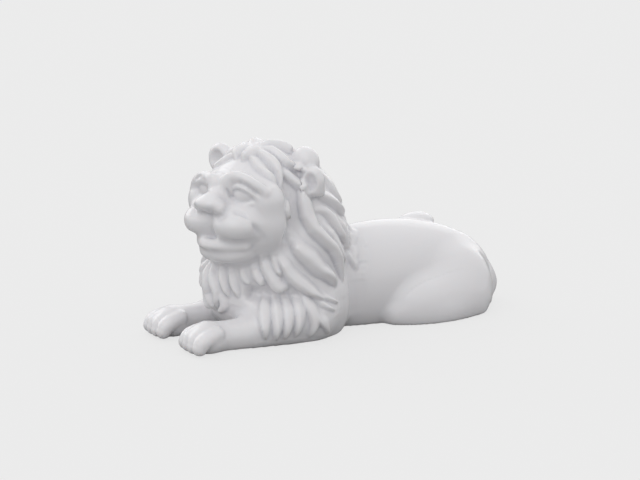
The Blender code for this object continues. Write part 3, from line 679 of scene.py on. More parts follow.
@dataclass
class Mane:
    """The locks of the mane, the beard and the crown, which stand up from the smooth form."""

    nape: Row = Row(4, Lock(176, 71, 6, 10, 25, 3.7, 2.4), Lock(138, 67, 22, 28, 25, 3.7, 2.2))
    low_nape: Row = Row(4, Lock(168, 52, 8, 10, 20, 3.4, 2.0), Lock(140, 47, 26, 30, 18, 3.4, 2.0))
    hem: Row = Row(3, Lock(172, 42, 8, 8, 16, 2.8, 1.3), Lock(152, 37, 16, 20, 14, 2.8, 1.3))
    far_high: Row = Row(4, Lock(86, 58, 44, 52, 24, 3.4, 2.3), Lock(126, 62, 30, 38, 24, 3.4, 2.2), Sides.FAR)
    far_mid: Row = Row(4, Lock(80, 42, 44, 56, 20, 3.2, 2.2), Lock(128, 44, 28, 36, 20, 3.2, 2.0), Sides.FAR)
    far_low: Row = Row(4, Lock(76, 29, 30, 50, 15, 2.6, 1.8), Lock(124, 28, 26, 36, 14, 2.6, 1.6), Sides.FAR)
    crown: Hair = Hair((1.2, 7, 29.0), (0.7, -0.8, 0.4), (0.6, -1, -0.2), 16, 3.4, 2.6)
    crown_back: Hair = Hair((2, -6, 26), (0.7, -0.9, 0), (0.4, -0.9, -0.8), 22, 3.8, 2.4)
    crown_far_back: Hair = Hair((2, -14, 20), (0.5, -0.9, -0.4), (0.2, -0.6, -1), 22, 3.8, 2.4)
    before_ear: Tress = Tress(
        (
            (14.5, 9.8, 21), (18.6, 7.8, 17.6), (21.4, 5.8, 13.5), (22.8, 4.0, 9), (23.6, 2.2, 3),
            (24.4, 0.3, -3), (25.5, -4.2, -8.5), (26.5, -9, -14), (28, -12, -21), (28.5, -14, -28),
        ),
        3.5,
        3.2,
    )
    behind_ear: Tress = Tress(
        ((27, -2, 10), (25, -8, 10), (22, -13, 7), (20, -18, 2), (19, -24, -4)), 3.4, 2.2
    )
    under_ear: Tress = Tress(
        ((23, -3, 4), (24, -7, 3), (24.5, -11, -1), (25, -14, -7), (24, -19, -13)), 3.0, 2.2
    )
    under_ear_low: Tress = Tress(((25, -6, -3), (26.5, -10, -9), (27, -13, -15), (26, -17, -21)), 3.0, 2.1)
    cheek: Tress = Tress(
        ((21, 9, -5), (24, 7, -11), (26, 3, -15), (27, 0, -19), (28, -4, -22), (30, -9, -28)), 4.4, 3.2
    )
    jaw_corner: Tress = Tress(
        ((19, 15, -13), (20.5, 13, -16), (23, 11, -21), (25, 7, -25), (28, 3, -29), (30, -2, -33)), 3.5, 2.5
    )
    throat: Tress = Tress(
        ((15, 19, -14), (15, 17.5, -18), (17, 16, -22), (20, 16, -26), (23, 13, -30)), 3.4, 2.4
    )
    throat_small: Tress = Tress(((11, 20.5, -18), (12.5, 20, -21), (15.5, 19, -25.5)), 2.6, 1.8)
    jaw_small: Tress = Tress(((18, 16.5, -13), (18.4, 15, -18), (20, 13.6, -22)), 2.2, 1.6)
    forelock: Tress = Tress(((5.4, 9, 28.2), (3.8, 14, 26.8), (1.9, 18.4, 24)), 2.7, 2.2)
    fringe_front: Tress = Tress(
        ((3.4, 14.6, 25.6), (7, 15.6, 24.6), (10.4, 15.6, 22), (14, 14.8, 18.6), (16.4, 14.4, 14)), 2.5, 1.8
    )
    fringe: Tress = Tress(
        ((3, 11.5, 27.5), (8, 10.6, 25.8), (12, 9.6, 23), (15.5, 9.8, 19), (18, 11, 13)), 2.8, 2.1
    )
    fringe_back: Tress = Tress(
        ((4, 7.5, 29), (8, 5.5, 27.4), (12.5, 4.6, 25), (17, 3.2, 22), (21.5, 0.6, 19.5)), 3.0, 2.2
    )
    furrow_hair: Tress = Tress(((21.0, 9.5, 11), (22.0, 9, 8), (22.6, 9, 4), (22.4, 9.4, 0)), 0.9, 1.6)
    shoulder: tuple[Tress, ...] = drawn(
        Sides.BOTH,
        (((88, 23), (97, 20), (106, 17.5), (115, 15)), 1.7, 1.2),
        (((88, 20), (98, 16), (109, 12.5)), 1.6, 1.1),
        (((81, 21), (86, 16), (92, 11), (101, 5)), 1.9, 1.3),
        (((94, 12), (99, 8), (104, 3)), 1.9, 1.1),
    )
    skirt: tuple[Tress, ...] = drawn(
        Sides.BOTH,
        *(
            (path, 2.9, 1.7)
            for path in (
                ((46.0, 20.5), (49.5, 13), (51.0, 4)),
                ((54.5, 21), (59, 12.5), (57.5, 3)),
                ((63, 21), (67.5, 13.5), (64, 3)),
                ((72, 21.5), (76.5, 14.5), (73, 3.5)),
                ((80, 22), (86, 15.5), (89, 9), (85, 2.5)),
            )
        ),
    )
    beard: tuple[Tress, ...] = drawn(
        Sides.ONE,
        (((-12, 32), (-13, 26), (-10, 19)), 2.2, 1.6),
        (((-4, 32), (-2, 25), (2, 18)), 2.2, 1.7),
        (((2, 32), (7, 25), (11, 20), (7, 13)), 2.4, 1.9),
        (((12, 32), (16, 25), (20, 19)), 2.0, 1.7),
        (((20, 31), (23, 25), (27, 19)), 1.9, 1.5),
        (((28, 31), (31, 27), (36, 25)), 1.6, 1.1),
        (((-20, 31), (-21, 25), (-16, 17)), 2.3, 1.7),
        (((-29, 30), (-30, 24), (-24, 16)), 2.3, 1.7),
    )
    beard_tips: tuple[Tress, ...] = drawn(
        Sides.ONE,
        (((-7, 23), (2, 17), (5, 12)), 2.2, 1.6),
        (((11, 22), (15, 16), (8, 11.5)), 2.2, 1.6),
        (((-16, 20), (-10, 14), (-6, 11.5)), 2.2, 1.5),
    )
    axis: tuple[float, float] = (0.0, -24.0)
    walk_from: float = 45.0
    walk_steps: int = 30
    walk_share: float = 0.8
    sway: float = 14.0
    sway_phase: float = 2.4
    steps: int = 10
    laying_rounds: int = 10
    boldness: float = 1.55
    root_width: float = 0.55
    swelling: float = 2.5
    bluntness: float = 1.04
    taper: float = 0.7
    root_rise: float = 0.55
    start_rise: float = 0.3
    start_climb: float = 4.0
    tip_share: float = 0.3
    seam: float = 0.5
    crest: float = -0.3
    strands: float = 2.0
    strand_rise: float = 0.12
    strand_phase: float = 1.7

    def placed(self) -> list[tuple[Lock, int]]:
        """Each lock of the rows round the mane, with its side."""
        rows = [row for row in held(self) if isinstance(row, Row)]
        return [(lock, side) for row in rows for lock in row.locks() for side in row.sides.value]

    def hairs(self) -> list[Hair]:
        """The locks that grow on the head."""
        return [hair for hair in held(self) if isinstance(hair, Hair)]

    def tresses(self) -> list[tuple[Tress, int]]:
        """Each drawn lock, single or in a group, with its side."""
        groups = [item if isinstance(item, tuple) else (item,) for item in held(self)]
        single = [tress for group in groups for tress in group if isinstance(tress, Tress)]
        return [(tress, side) for tress in single for side in tress.sides.value]

    def roots(self, form: Form, angle: Array, height: Array) -> Array:
        """Points on a form at angles round the mane's axis, found by walking in from outside it.

        Args:
            form: value of the clay at points.
            angle: angles from straight ahead, in radians.
            height: heights over the table.

        Returns:
            Rows of x, y, z.
        """
        outwards = np.stack((np.sin(angle), -np.cos(angle), np.zeros_like(angle)), axis=1)
        x, y = self.axis
        upright = np.stack((np.full_like(height, x), np.full_like(height, y), height), axis=1)
        reach = np.full(len(angle), self.walk_from)
        for _ in range(self.walk_steps):
            reach = np.maximum(reach - self.walk_share * form(upright + outwards * reach[:, None]), 0)
        return upright + outwards * reach[:, None]

    def starts(self, form: Form) -> tuple[Array, Array, Array, Array]:
        """Where the locks round the mane start: straight down, turned towards the back by each lean.

        Args:
            form: value of the clay at points.

        Returns:
            Roots, first directions, last directions, and lengths with half widths and heights.
        """
        placed = self.placed()
        side = np.array([side for _, side in placed], float)
        sizes = np.array([lock.numbers() for lock, _ in placed])
        angle = np.radians(sizes[:, 0]) * side
        roots = self.roots(form, angle, sizes[:, 1])
        back = np.stack((np.cos(angle), np.sin(angle), np.zeros_like(angle)), axis=1) * side[:, None]
        down = np.array((0, 0, -1.0))
        leans = np.radians(sizes[:, 2:4])
        first, last = (np.cos(lean)[:, None] * down + np.sin(lean)[:, None] * back for lean in leans.T)
        return roots, first, last, sizes[:, 4:]

    def head_starts(self, head: Head, press: Callable[[Array], Array]) -> tuple[Array, Array, Array, Array]:
        """Where the locks on the head start, on both sides of it.

        Args:
            head: the head that they grow on.
            press: moves points onto the smooth form.

        Returns:
            Roots, first directions, last directions, and lengths with half widths and heights.
        """
        pairs = [(hair, side) for hair in self.hairs() for side in Sides.BOTH.value]
        root, first, last = (
            np.array([getattr(hair, part) for hair, _ in pairs], float)
            * np.array([(side, 1, 1) for _, side in pairs])
            for part in ("root", "first", "last")
        )
        sizes = np.array([(hair.length, hair.width, hair.rise) for hair, _ in pairs])
        return press(head.outward(root)), head.facing(first), head.facing(last), sizes

    def laid(self, head: Head, form: Form, press: Callable[..., Array]) -> tuple[Array, Array, Array]:
        """The tresses' lines on the clay, each evenly stepped, on every side that carries it.

        Args:
            head: the head whose coordinates some are drawn in.
            form: value of the clay at points.
            press: moves points onto the smooth form.

        Returns:
            One row of steps for each tress, half widths with heights, and sides.
        """
        pairs = self.tresses()
        paths = []
        for tress, side in pairs:
            steps = tress.steps(self.steps)
            if tress.frame is Frame.HEAD:
                paths.append(head.outward(steps * (side, 1, 1)))
            else:
                paths.append(self.roots(form, np.radians(steps[:, 0]) * side, steps[:, 1]))
        flat = press(np.concatenate(paths), rounds=self.laying_rounds)
        sizes = np.array([(tress.width, tress.rise) for tress, _ in pairs])
        return flat.reshape(len(pairs), -1, 3), sizes, np.array([side for _, side in pairs])

    def profile(self, away: Array, share: Array, width: float, rise: float, seed: int) -> Array:
        """Height of a lock over the form: an arch across it with its crest to one side, low at both ends,
        with fine strands.

        Args:
            away: signed distance from the lock's middle line.
            share: place along the lock, 0 at its root and 1 at its tip.
            width: half width of the lock.
            rise: height of the lock.
            seed: the lock's number, which sets where its strands run.

        Returns:
            One height for each point, below 0 beyond the lock's edges.
        """
        wide = self.root_width + (1 - self.root_width) * np.minimum(share * self.swelling, 1)
        across = away / (width * wide * (self.bluntness - share**3) ** self.taper)
        over = across - self.crest
        slant = np.where(over > 0, over / (1 - self.crest), -over / (1 + self.crest))
        tip = np.clip((1 - share) / self.tip_share, 0, 1)
        start = np.clip(share * self.start_climb + self.start_rise, 0, 1)
        climb = (self.root_rise + (1 - self.root_rise) * share) * tip * (2 - tip) * start
        strand = self.strand_rise * np.cos(math.pi * self.strands * across + self.strand_phase * seed)
        return (self.boldness * rise + strand) * (1 - slant**2) * climb


@dataclass
class Carver:
    """Works out the lion's skin: a net of faces round the clay, pressed onto it, with the locks raised."""

    trunk: Trunk
    forelegs: Forelegs
    tail: Tail
    head: Head
    mane: Mane
    base_rounding: float = 1.2
    foot: float = 0.12
    evening_rounds: int = 3

    def smooth_form(self, points: Array) -> Array:
        """The whole figure without its locks, below 0 inside it: every mass merged, then cut flat underneath.

        Args:
            points: rows of x, y, z in shares.

        Returns:
            One value for each point.
        """
        value = np.full(len(points), OUTSIDE)
        for part in (self.trunk, self.forelegs, self.tail):
            part.shape_into(value, points)
        self.head.shape_into(value, self.head.inward(points))
        return -merged(-value, points[:, 2], self.base_rounding)

    def slopes(self, points: Array) -> tuple[Array, Array]:
        """The clay's value at each point and the way in which it grows, from a small step along each axis.

        Args:
            points: rows of x, y, z.

        Returns:
            The values and the slopes.
        """
        value = self.smooth_form(points)
        steps = np.eye(3) * PROBE
        return value, np.stack([(self.smooth_form(points + step) - value) / PROBE for step in steps], axis=1)

    def press(self, points: Array, rounds: int = 4, reach: float = 1.5) -> Array:
        """Moves points along the slope until they lie on the clay.

        Args:
            points: rows of x, y, z.
            rounds: how many moves.
            reach: furthest that one move goes.

        Returns:
            The moved points.
        """
        for _ in range(rounds):
            value, slope = self.slopes(points)
            steep = np.maximum((slope**2).sum(axis=1), GENTLEST)
            move = -(value / steep)[:, None] * slope
            far = np.linalg.norm(move, axis=1)
            points = points + move * np.minimum(1, reach / np.maximum(far, TINY))[:, None]
        return points

    def grown(self, starts: tuple[Array, Array, Array, Array]) -> Array:
        """Paths of the locks over the clay: each turns from its first direction to its last, and sways.

        Args:
            starts: roots, first directions, last directions and sizes.

        Returns:
            One row of steps for each lock.
        """
        points, first, last, sizes = starts
        path = [points]
        phase = self.mane.sway_phase * np.arange(len(points))
        stride = (sizes[:, 0] / self.mane.steps)[:, None]
        for step in range(self.mane.steps):
            share = step / (self.mane.steps - 1)
            normal = unit(self.slopes(points)[1])
            heading = first * (1 - share) + last * share
            heading = unit(heading - normal * (heading * normal).sum(axis=1)[:, None])
            turn = (math.radians(self.mane.sway) * np.sin(2 * math.pi * share + phase))[:, None]
            heading = np.cos(turn) * heading + np.sin(turn) * np.cross(normal, heading)
            points = self.press(points + heading * stride, rounds=2)
            path.append(points)
        return np.stack(path, axis=1)

    def relief(self, points: Array, normal: Array) -> Array:
        """How high the locks stand over points of the clay: the highest lock at each point, with soft seams.

        Args:
            points: rows of x, y, z on the clay.
            normal: the clay's outward directions there.

        Returns:
            One height for each point.
        """
        mane_starts = self.mane.starts(self.smooth_form)
        head_starts = self.mane.head_starts(self.head, self.press)
        starts = tuple(np.concatenate(both) for both in zip(mane_starts, head_starts))
        laid, laid_sizes, laid_sides = self.mane.laid(self.head, self.smooth_form, self.press)
        sides = [side for _, side in self.mane.placed()] + [1, -1] * len(self.mane.hairs()) + list(laid_sides)
        paths = np.concatenate((self.grown(starts), laid))
        sizes = np.concatenate((starts[3][:, 1:], laid_sizes))
        relief = np.zeros(len(points))
        for number, (path, size, side) in enumerate(zip(paths, sizes, sides)):
            near = inside(points, path.min(axis=0), path.max(axis=0), size[0] + LOCK_MARGIN)
            away, where, offset = nearest_on_path(points[near], path)
            step = np.minimum(where.astype(int), self.mane.steps - 1)
            sideways = np.cross(normal[near], (path[1:] - path[:-1])[step]) * side
            signed = np.where((offset * sideways).sum(axis=1) < 0, -away, away)
            raised = self.mane.profile(signed, where / self.mane.steps, size[0], size[1], number)
            relief[near] = -merged(-relief[near], -raised, self.mane.seam)
        return relief

    def carved(self, points: Array, edges: Array) -> Array:
        """Points of the net on the clay, evened out, with the locks raised on them and a flat underside.

        Args:
            points: rows of x, y, z near the clay.
            edges: pairs of neighbours.

        Returns:
            The points of the finished skin.
        """
        points = self.press(np.maximum(points, (-np.inf, -np.inf, 0)))
        for _ in range(self.evening_rounds):
            points = self.press(evened(points, edges), rounds=2)
        normal = unit(self.slopes(points)[1])
        points = points + normal * self.relief(points, normal)[:, None]
        points[points[:, 2] < self.foot, 2] = 0
        return points


def evened(points: Array, edges: Array) -> Array:
    """Each point moved half of the way to the mean of its neighbours.

    Args:
        points: rows of x, y, z.
        edges: pairs of neighbours.

    Returns:
        The moved points.
    """
    total = np.zeros_like(points)
    count = np.bincount(edges.ravel(), minlength=len(points))
    for a, b in (edges.T, edges.T[::-1]):
        for axis in range(3):
            total[:, axis] += np.bincount(a, points[b, axis], len(points))
    return (points + total / count[:, None]) / 2


def netted(form: Form, axes: tuple[Array, Array, Array]) -> tuple[Array, Array]:
    """A closed net of four-sided faces round a form: a point in each cell of a grid that the surface passes
    through, and a face across each edge of the grid whose ends lie on either side of it.

    Args:
        form: value of the clay at points.
        axes: the grid's places along x, y and z.

    Returns:
        The points and the faces.
    """
    grid = np.stack(np.meshgrid(*axes, indexing="ij"), axis=-1).reshape(-1, 3)
    within = (form(grid) < 0).reshape([len(axis) for axis in axes])
    ends = (slice(None, -1), slice(1, None))
    count = np.sum([within[x, y, z] for x in ends for y in ends for z in ends], axis=0)
    crossed = (count > 0) & (count < 8)
    number = np.full(crossed.shape, -1)
    number[crossed] = np.arange(crossed.sum())
    middles = [(axis[:-1] + axis[1:]) / 2 for axis in axes]
    points = np.stack([middle[place] for middle, place in zip(middles, np.nonzero(crossed))], axis=1)
    faces = []
    for axis in range(3):
        filled, near = np.moveaxis(within, axis, 0), np.moveaxis(number, axis, 0)
        i, j, k = np.nonzero((filled[:-1] != filled[1:])[:, 1:-1, 1:-1])
        ring = (near[i, j, k], near[i, j + 1, k], near[i, j + 1, k + 1], near[i, j, k + 1])
        around = np.stack(ring, axis=1)
        outwards = filled[i, j + 1, k + 1] != (axis == 1)
        faces.append(np.where(outwards[:, None], around, around[:, ::-1]))
    return points, np.concatenate(faces)


def edges_of(faces: Array) -> Array:
    """Each edge of four-sided faces once.

    Args:
        faces: rows of four corners.

    Returns:
        Rows of two ends.
    """
    pairs = np.sort(np.concatenate([faces[:, [i, (i + 1) % 4]] for i in range(4)]), axis=1)
    return np.unique(pairs, axis=0)


def socket(
    group: bpy.types.NodeTree, name: str, kind: str, value: object = None, output: bool = False
) -> None:
    """Adds a named input or output to a node group.

    Args:
        group: the group.
        name: the socket's name.
        kind: Float, Color or Vector.
        value: what an input is by default.
        output: whether it is an output.
    """
    way = "OUTPUT" if output else "INPUT"
    made = group.interface.new_socket(name, in_out=way, socket_type=f"NodeSocket{kind}")
    if value is not None:
        made.default_value = value


class NodeSheet:
    """A node tree that is written node by node."""

    def __init__(self, tree: bpy.types.NodeTree) -> None:
        """Takes the tree to write in."""
        self.tree = tree

    def add(self, kind: str, settings: dict[str, object] | None = None, **inputs: object) -> bpy.types.Node:
        """Adds a node and fills its inputs, with a number, a colour or another node's output.

        Args:
            kind: the node's type without the word ShaderNode.
            settings: the node's own options.
            inputs: values by the socket's name, with _ for a space and a number after _ for one of several.

        Returns:
            The node.
        """
        node = self.tree.nodes.new(kind if kind.startswith("Node") else f"ShaderNode{kind}")
        for option, value in (settings or {}).items():
            setattr(node, option, value)
        for name, value in inputs.items():
            key = int(name[1:]) if name[0] == "_" else name.replace("_", " ")
            if isinstance(value, bpy.types.NodeSocket):
                self.tree.links.new(value, node.inputs[key])
            else:
                node.inputs[key].default_value = value
        return node


@dataclass(frozen=True)
class GlazePoolingAndShade:
    """Painted shade in the glaze's colour: darker and cooler in grooves, where shade falls, with a little of
    the real tint of pooled glaze; lighter on ridges.
    """

    thin: Colour = (0.86, 0.85, 0.86, 1.0)
    even: Colour = (0.80, 0.79, 0.81, 1.0)
    # painted shade: the colour of the deepest grooves, darker and bluer than the even glaze, as shade falls
    # there
    pooled_and_shaded: Colour = (0.60, 0.60, 0.65, 1.0)
    attribute: str = "recess"

    def group(self) -> bpy.types.NodeTree:
        """The node group: a factor of 0 on ridges, a half on even ground and 1 in grooves picks the colour.

        Returns:
            The group, with Recess and the three colours in and Colour out.
        """
        group = bpy.data.node_groups.new("glaze_pooling_and_painted_shade", "ShaderNodeTree")
        socket(group, "Recess", "Float", 0.5)
        socket(group, "Thin", "Color", self.thin)
        socket(group, "Even", "Color", self.even)
        socket(group, "Pooled And Shaded", "Color", self.pooled_and_shaded)
        socket(group, "Colour", "Color", output=True)
        sheet = NodeSheet(group)
        given = sheet.add("NodeGroupInput").outputs
        low = sheet.add("MapRange", Value=given["Recess"], From_Min=0.0, From_Max=0.5).outputs["Result"]
        high = sheet.add("MapRange", Value=given["Recess"], From_Min=0.5, From_Max=1.0).outputs["Result"]
        mix = {"data_type": "RGBA"}
        ridge = sheet.add("Mix", mix, _0=low, _6=given["Thin"], _7=given["Even"]).outputs[2]
        # painted shade: towards the grooves the colour turns darker and cooler
        groove = sheet.add("Mix", mix, _0=high, _6=ridge, _7=given["Pooled And Shaded"]).outputs[2]
        sheet.add("NodeGroupOutput", Colour=groove)
        return group


@dataclass(frozen=True)
class FiredSurface:
    """The slight waves and ripples of a fired surface, and the mottle that they give its gloss."""

    wave: float = 0.009
    ripple: float = 0.0018
    ripple_share: float = 0.12
    detail: float = 2.0

    def group(self) -> bpy.types.NodeTree:
        """The node group: a long and a short noise on the object's coordinates, added as a height.

        Returns:
            The group, with the two lengths in and Height and Mottle out.
        """
        group = bpy.data.node_groups.new("fired_surface", "ShaderNodeTree")
        socket(group, "Wave Length", "Float", self.wave)
        socket(group, "Ripple Length", "Float", self.ripple)
        socket(group, "Height", "Float", output=True)
        socket(group, "Mottle", "Float", output=True)
        sheet = NodeSheet(group)
        given = sheet.add("NodeGroupInput").outputs
        place = sheet.add("TexCoord").outputs["Object"]
        noises = []
        for length in ("Wave Length", "Ripple Length"):
            scale = sheet.add("Math", {"operation": "DIVIDE"}, _0=1.0, _1=given[length]).outputs[0]
            noises.append(sheet.add("TexNoise", Vector=place, Scale=scale, Detail=self.detail).outputs[0])
        ripples = sheet.add("Math", {"operation": "MULTIPLY"}, _0=noises[1], _1=self.ripple_share).outputs[0]
        height = sheet.add("Math", {"operation": "ADD"}, _0=noises[0], _1=ripples).outputs[0]
        sheet.add("NodeGroupOutput", Height=height, Mottle=noises[0])
        return group


@dataclass(frozen=True)
class WhiteGlaze:
    """The lion's finish: white porcelain under a clear gloss, with painted shade in its grooves, matt at the
    bare foot that it was fired on.
    """

    name: str = "white_glaze"
    body_roughness: tuple[float, float] = (0.30, 0.42)
    bare_roughness: float = 0.75
    bare_colour: Colour = (0.78, 0.75, 0.70, 1.0)
    foot_height: float = 0.0006
    coat: float = 0.7
    coat_roughness: float = 0.06
    glow: float = 0.12
    glow_depth: float = 0.002
    glow_radius: Triple = (1.0, 0.8, 0.7)
    wave_strength: float = 0.12
    wave_distance: float = 0.0003

    def material(self, pooled_and_shaded: GlazePoolingAndShade, surface: FiredSurface) -> bpy.types.Material:
        """The material.

        Args:
            pooled_and_shaded: the colours for ridges, even ground and grooves, with painted shade in the
                grooves.
            surface: the waves of the fired surface.

        Returns:
            The material.
        """
        glaze = bpy.data.materials.new(self.name)
        glaze.use_nodes = True
        sheet = NodeSheet(glaze.node_tree)
        shader = glaze.node_tree.nodes["Principled BSDF"]
        recess = sheet.add("Attribute", {"attribute_name": pooled_and_shaded.attribute}).outputs["Fac"]
        # the base colour carries painted shade in the grooves
        colour = sheet.add("Group", {"node_tree": pooled_and_shaded.group()}, Recess=recess).outputs["Colour"]
        fired = sheet.add("Group", {"node_tree": surface.group()}).outputs
        place = sheet.add("TexCoord").outputs["Object"]
        height = sheet.add("SeparateXYZ", Vector=place).outputs["Z"]
        bare = sheet.add(
            "MapRange", Value=height, From_Min=0.0, From_Max=self.foot_height, To_Min=1.0, To_Max=0.0
        ).outputs["Result"]
        low, high = self.body_roughness
        glossy = sheet.add("MapRange", Value=fired["Mottle"], To_Min=low, To_Max=high).outputs["Result"]
        rough = sheet.add("Mix", _0=bare, _2=glossy, _3=self.bare_roughness).outputs[0]
        mixed = sheet.add("Mix", {"data_type": "RGBA"}, _0=bare, _6=colour, _7=self.bare_colour).outputs[2]
        coat = sheet.add("MapRange", Value=bare, To_Min=self.coat, To_Max=0.0).outputs["Result"]
        bump = sheet.add(
            "Bump", Height=fired["Height"], Strength=self.wave_strength, Distance=self.wave_distance
        ).outputs["Normal"]
        worked_out = {"Base Color": mixed, "Roughness": rough, "Coat Weight": coat, "Normal": bump}
        for name, value in worked_out.items():
            glaze.node_tree.links.new(value, shader.inputs[name])
        shader.inputs["Coat Roughness"].default_value = self.coat_roughness
        shader.inputs["Subsurface Weight"].default_value = self.glow
        shader.inputs["Subsurface Scale"].default_value = self.glow_depth
        shader.inputs["Subsurface Radius"].default_value = self.glow_radius
        return glaze


@dataclass
class Lion:
    """The cast figure: its skin as one piece in the place of the CAD solid."""

    carver: Carver
    glaze: WhiteGlaze
    pooled_and_shaded: GlazePoolingAndShade = GlazePoolingAndShade()
    pitch: float = 0.66
    coarse: float = 1.1
    clearance: float = 3.0
    recess_rounds: int = 6
    recess_depth: float = 0.7
    node: str = "lion"
    name: str = "lion_skin"

    def grid(self, low: Array, high: Array) -> tuple[Array, Array, Array]:
        """Places of the grid along each axis, a little beyond the figure.

        Args:
            low: the figure's lowest corner, in shares.
            high: its highest corner.

        Returns:
            The places along x, y and z.
        """
        step = self.pitch
        low, high = low - self.clearance, high + self.clearance
        return tuple(np.arange(a, b, step) + step / 2 for a, b in zip(low, high))

    def recess(self, points: Array, edges: Array, normal: Array) -> Array:
        """How deep each point lies in a groove: how far the evened skin passes over it, as a factor.

        Args:
            points: rows of x, y, z.
            edges: pairs of neighbours.
            normal: outward directions.

        Returns:
            0 on sharp ridges, a half on even ground, 1 in deep grooves.
        """
        smooth = points
        for _ in range(self.recess_rounds):
            smooth = evened(smooth, edges)
        depth = ((smooth - points) * normal).sum(axis=1) / self.recess_depth
        return np.clip(0.5 + depth / 2, 0, 1)

    def build(self) -> bpy.types.Object:
        """The skin, in metres, in the CAD solid's place.

        Returns:
            The finished piece.
        """
        low, high = (np.array(corner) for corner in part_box(self.node))
        share = (high[1] - low[1]) / SHARES_LONG
        points, faces = netted(self.carver.smooth_form, self.grid(low / share, high / share))
        edges = edges_of(faces)
        points = self.carver.carved(points, edges)
        mesh = bpy.data.meshes.new(self.name)
        mesh.from_pydata(points * share, [], faces.tolist())
        mesh.shade_smooth()
        normal = np.empty(len(points) * 3, np.float32)
        mesh.vertices.foreach_get("normal", normal)
        # how deep each point lies in a groove, which sets the painted shade there
        depth = self.recess(points, edges, normal.reshape(-1, 3))
        recess = mesh.attributes.new(self.pooled_and_shaded.attribute, "FLOAT", "POINT")
        recess.data.foreach_set("value", depth.astype(np.float32))
        lion = bpy.data.objects.new(self.name, mesh)
        bpy.context.scene.collection.objects.link(lion)
        log.info("%s: %d points, %d faces", self.name, len(points), len(faces))
        return lion

    def dress(self, lion: bpy.types.Object) -> None:
        """Glazes the skin and gives it the CAD solid's place in the model.

        Args:
            lion: the piece.
        """
        lion.data.materials.append(self.glaze.material(self.pooled_and_shaded, FiredSurface()))
        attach(lion, "root")
        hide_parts(self.node)


@dataclass(frozen=True)
class SoftLight:
    """A wide, far light of the studio: where it comes from, how wide it looks and how strong it is."""

    name: str
    azimuth: float
    elevation: float
    width: float
    strength: float

    def hang(self) -> None:
        """Adds the light to the scene, shining on the figure from its azimuth and elevation."""
        data = bpy.data.lights.new(self.name, "SUN")
        data.angle, data.energy = math.radians(self.width), self.strength
        light = bpy.data.objects.new(self.name, data)
        light.rotation_euler = seen_from(self.azimuth, self.elevation).to_track_quat("Z", "Y").to_euler()
        bpy.context.scene.collection.objects.link(light)


def seen_from(azimuth: float, elevation: float) -> Vector:
    """The direction from the figure to a place round it: 0 is straight ahead of it, 90 its left side.

    Args:
        azimuth: angle round the upright axis, in degrees.
        elevation: angle above the table, in degrees.

    Returns:
        The direction, of length one.
    """
    a, e = math.radians(azimuth), math.radians(elevation)
    return Vector((math.sin(a) * math.cos(e), -math.cos(a) * math.cos(e), math.sin(e)))


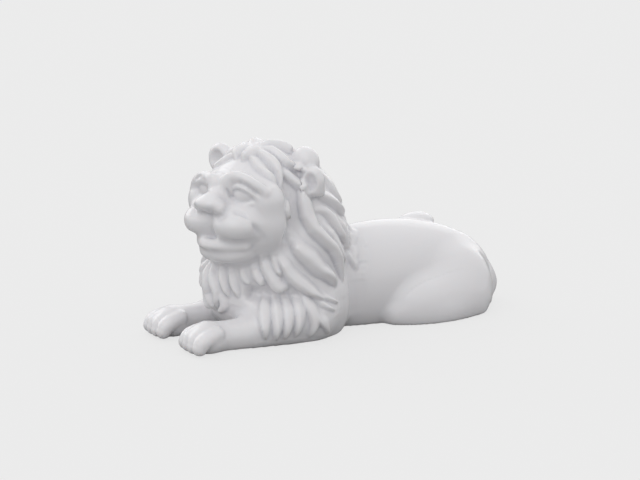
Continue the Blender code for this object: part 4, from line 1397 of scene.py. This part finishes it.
@dataclass
class Studio:
    """The plain pale floor, the soft light and the camera."""

    floor_tone: float = 0.35
    floor_shade: float = 0.12
    floor_glow: float = 0.715
    floor_roughness: float = 0.9
    floor_reach: float = 6.0
    ambient: float = 0.85
    azimuth: float = 61.0
    elevation: float = 12.0
    distance: float = 800.0
    aim: Triple = (-11.2, 0.0, 33.0)
    lens: float = 106.65
    sensor: float = 36.0
    clip: tuple[float, float] = (0.01, 50.0)
    lights: tuple[SoftLight, ...] = (
        SoftLight("front_window", 35, 40, 50, 0.35),
        SoftLight("back_left_window", -75, 25, 40, 0.3),
        SoftLight("back_window", 225, 25, 50, 0.25),
    )

    def build(self, share: float) -> None:
        """Sets up the floor, the lights and the camera.

        Args:
            share: one share of the figure's length, in metres.
        """
        self.lay_floor()
        for light in self.lights:
            light.hang()
        world = bpy.data.worlds.new("studio")
        world.use_nodes = True
        sky = world.node_tree.nodes["Background"]
        sky.inputs["Color"].default_value = (1, 1, 1, 1)
        sky.inputs["Strength"].default_value = self.ambient
        bpy.context.scene.world = world
        bpy.context.scene.view_settings.view_transform = "Standard"
        self.place_camera(share)

    def lay_floor(self) -> None:
        """Lays one square of pale floor under the figure and marks it as stage. It looks evenly lit, with a
        faint shadow, and gives the figure the light of a greyer floor."""
        reach = self.floor_reach
        corners = [(-reach, -reach, 0), (reach, -reach, 0), (reach, reach, 0), (-reach, reach, 0)]
        mesh = bpy.data.meshes.new("floor")
        mesh.from_pydata(corners, [], [(0, 1, 2, 3)])
        material = bpy.data.materials.new("pale_floor")
        material.use_nodes = True
        sheet = NodeSheet(material.node_tree)
        shader = material.node_tree.nodes["Principled BSDF"]
        direct = sheet.add("LightPath").outputs["Is Camera Ray"]
        tone = sheet.add("MapRange", Value=direct, To_Min=self.floor_tone, To_Max=self.floor_shade)
        glow = sheet.add("MapRange", Value=direct, To_Min=0.0, To_Max=self.floor_glow)
        material.node_tree.links.new(tone.outputs["Result"], shader.inputs["Base Color"])
        material.node_tree.links.new(glow.outputs["Result"], shader.inputs["Emission Strength"])
        shader.inputs["Emission Color"].default_value = (1, 1, 1, 1)
        shader.inputs["Roughness"].default_value = self.floor_roughness
        shader.inputs["Specular IOR Level"].default_value = 0.0
        mesh.materials.append(material)
        floor = bpy.data.objects.new("floor", mesh)
        bpy.context.scene.collection.objects.link(floor)
        floor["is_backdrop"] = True

    def place_camera(self, share: float) -> None:
        """Puts the camera where the photograph was taken from.

        Args:
            share: one share of the figure's length, in metres.
        """
        back = seen_from(self.azimuth, self.elevation)
        data = bpy.data.cameras.new("photo_view")
        data.lens, data.sensor_width = self.lens, self.sensor
        data.clip_start, data.clip_end = self.clip
        camera = bpy.data.objects.new("photo_view", data)
        camera.location = (Vector(self.aim) + back * self.distance) * share
        camera.rotation_euler = (-back).to_track_quat("-Z", "Y").to_euler()
        bpy.context.scene.collection.objects.link(camera)
        bpy.context.scene.camera = camera


def main() -> None:
    """Builds the lion and its studio, and logs the skin's points and faces and the studio's lights."""
    logging.basicConfig(level=logging.INFO, format="%(name)s: %(message)s")
    carver = Carver(Trunk(), Forelegs(), Tail(), Head(), Mane())
    lion = Lion(carver, WhiteGlaze())
    lion.dress(lion.build())
    low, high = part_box(lion.node)
    studio = Studio()
    studio.build((high[1] - low[1]) / SHARES_LONG)
    low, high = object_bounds()
    log.info("studio: floor, %d lights and camera", len(studio.lights))


if __name__ == "__main__":
    main()
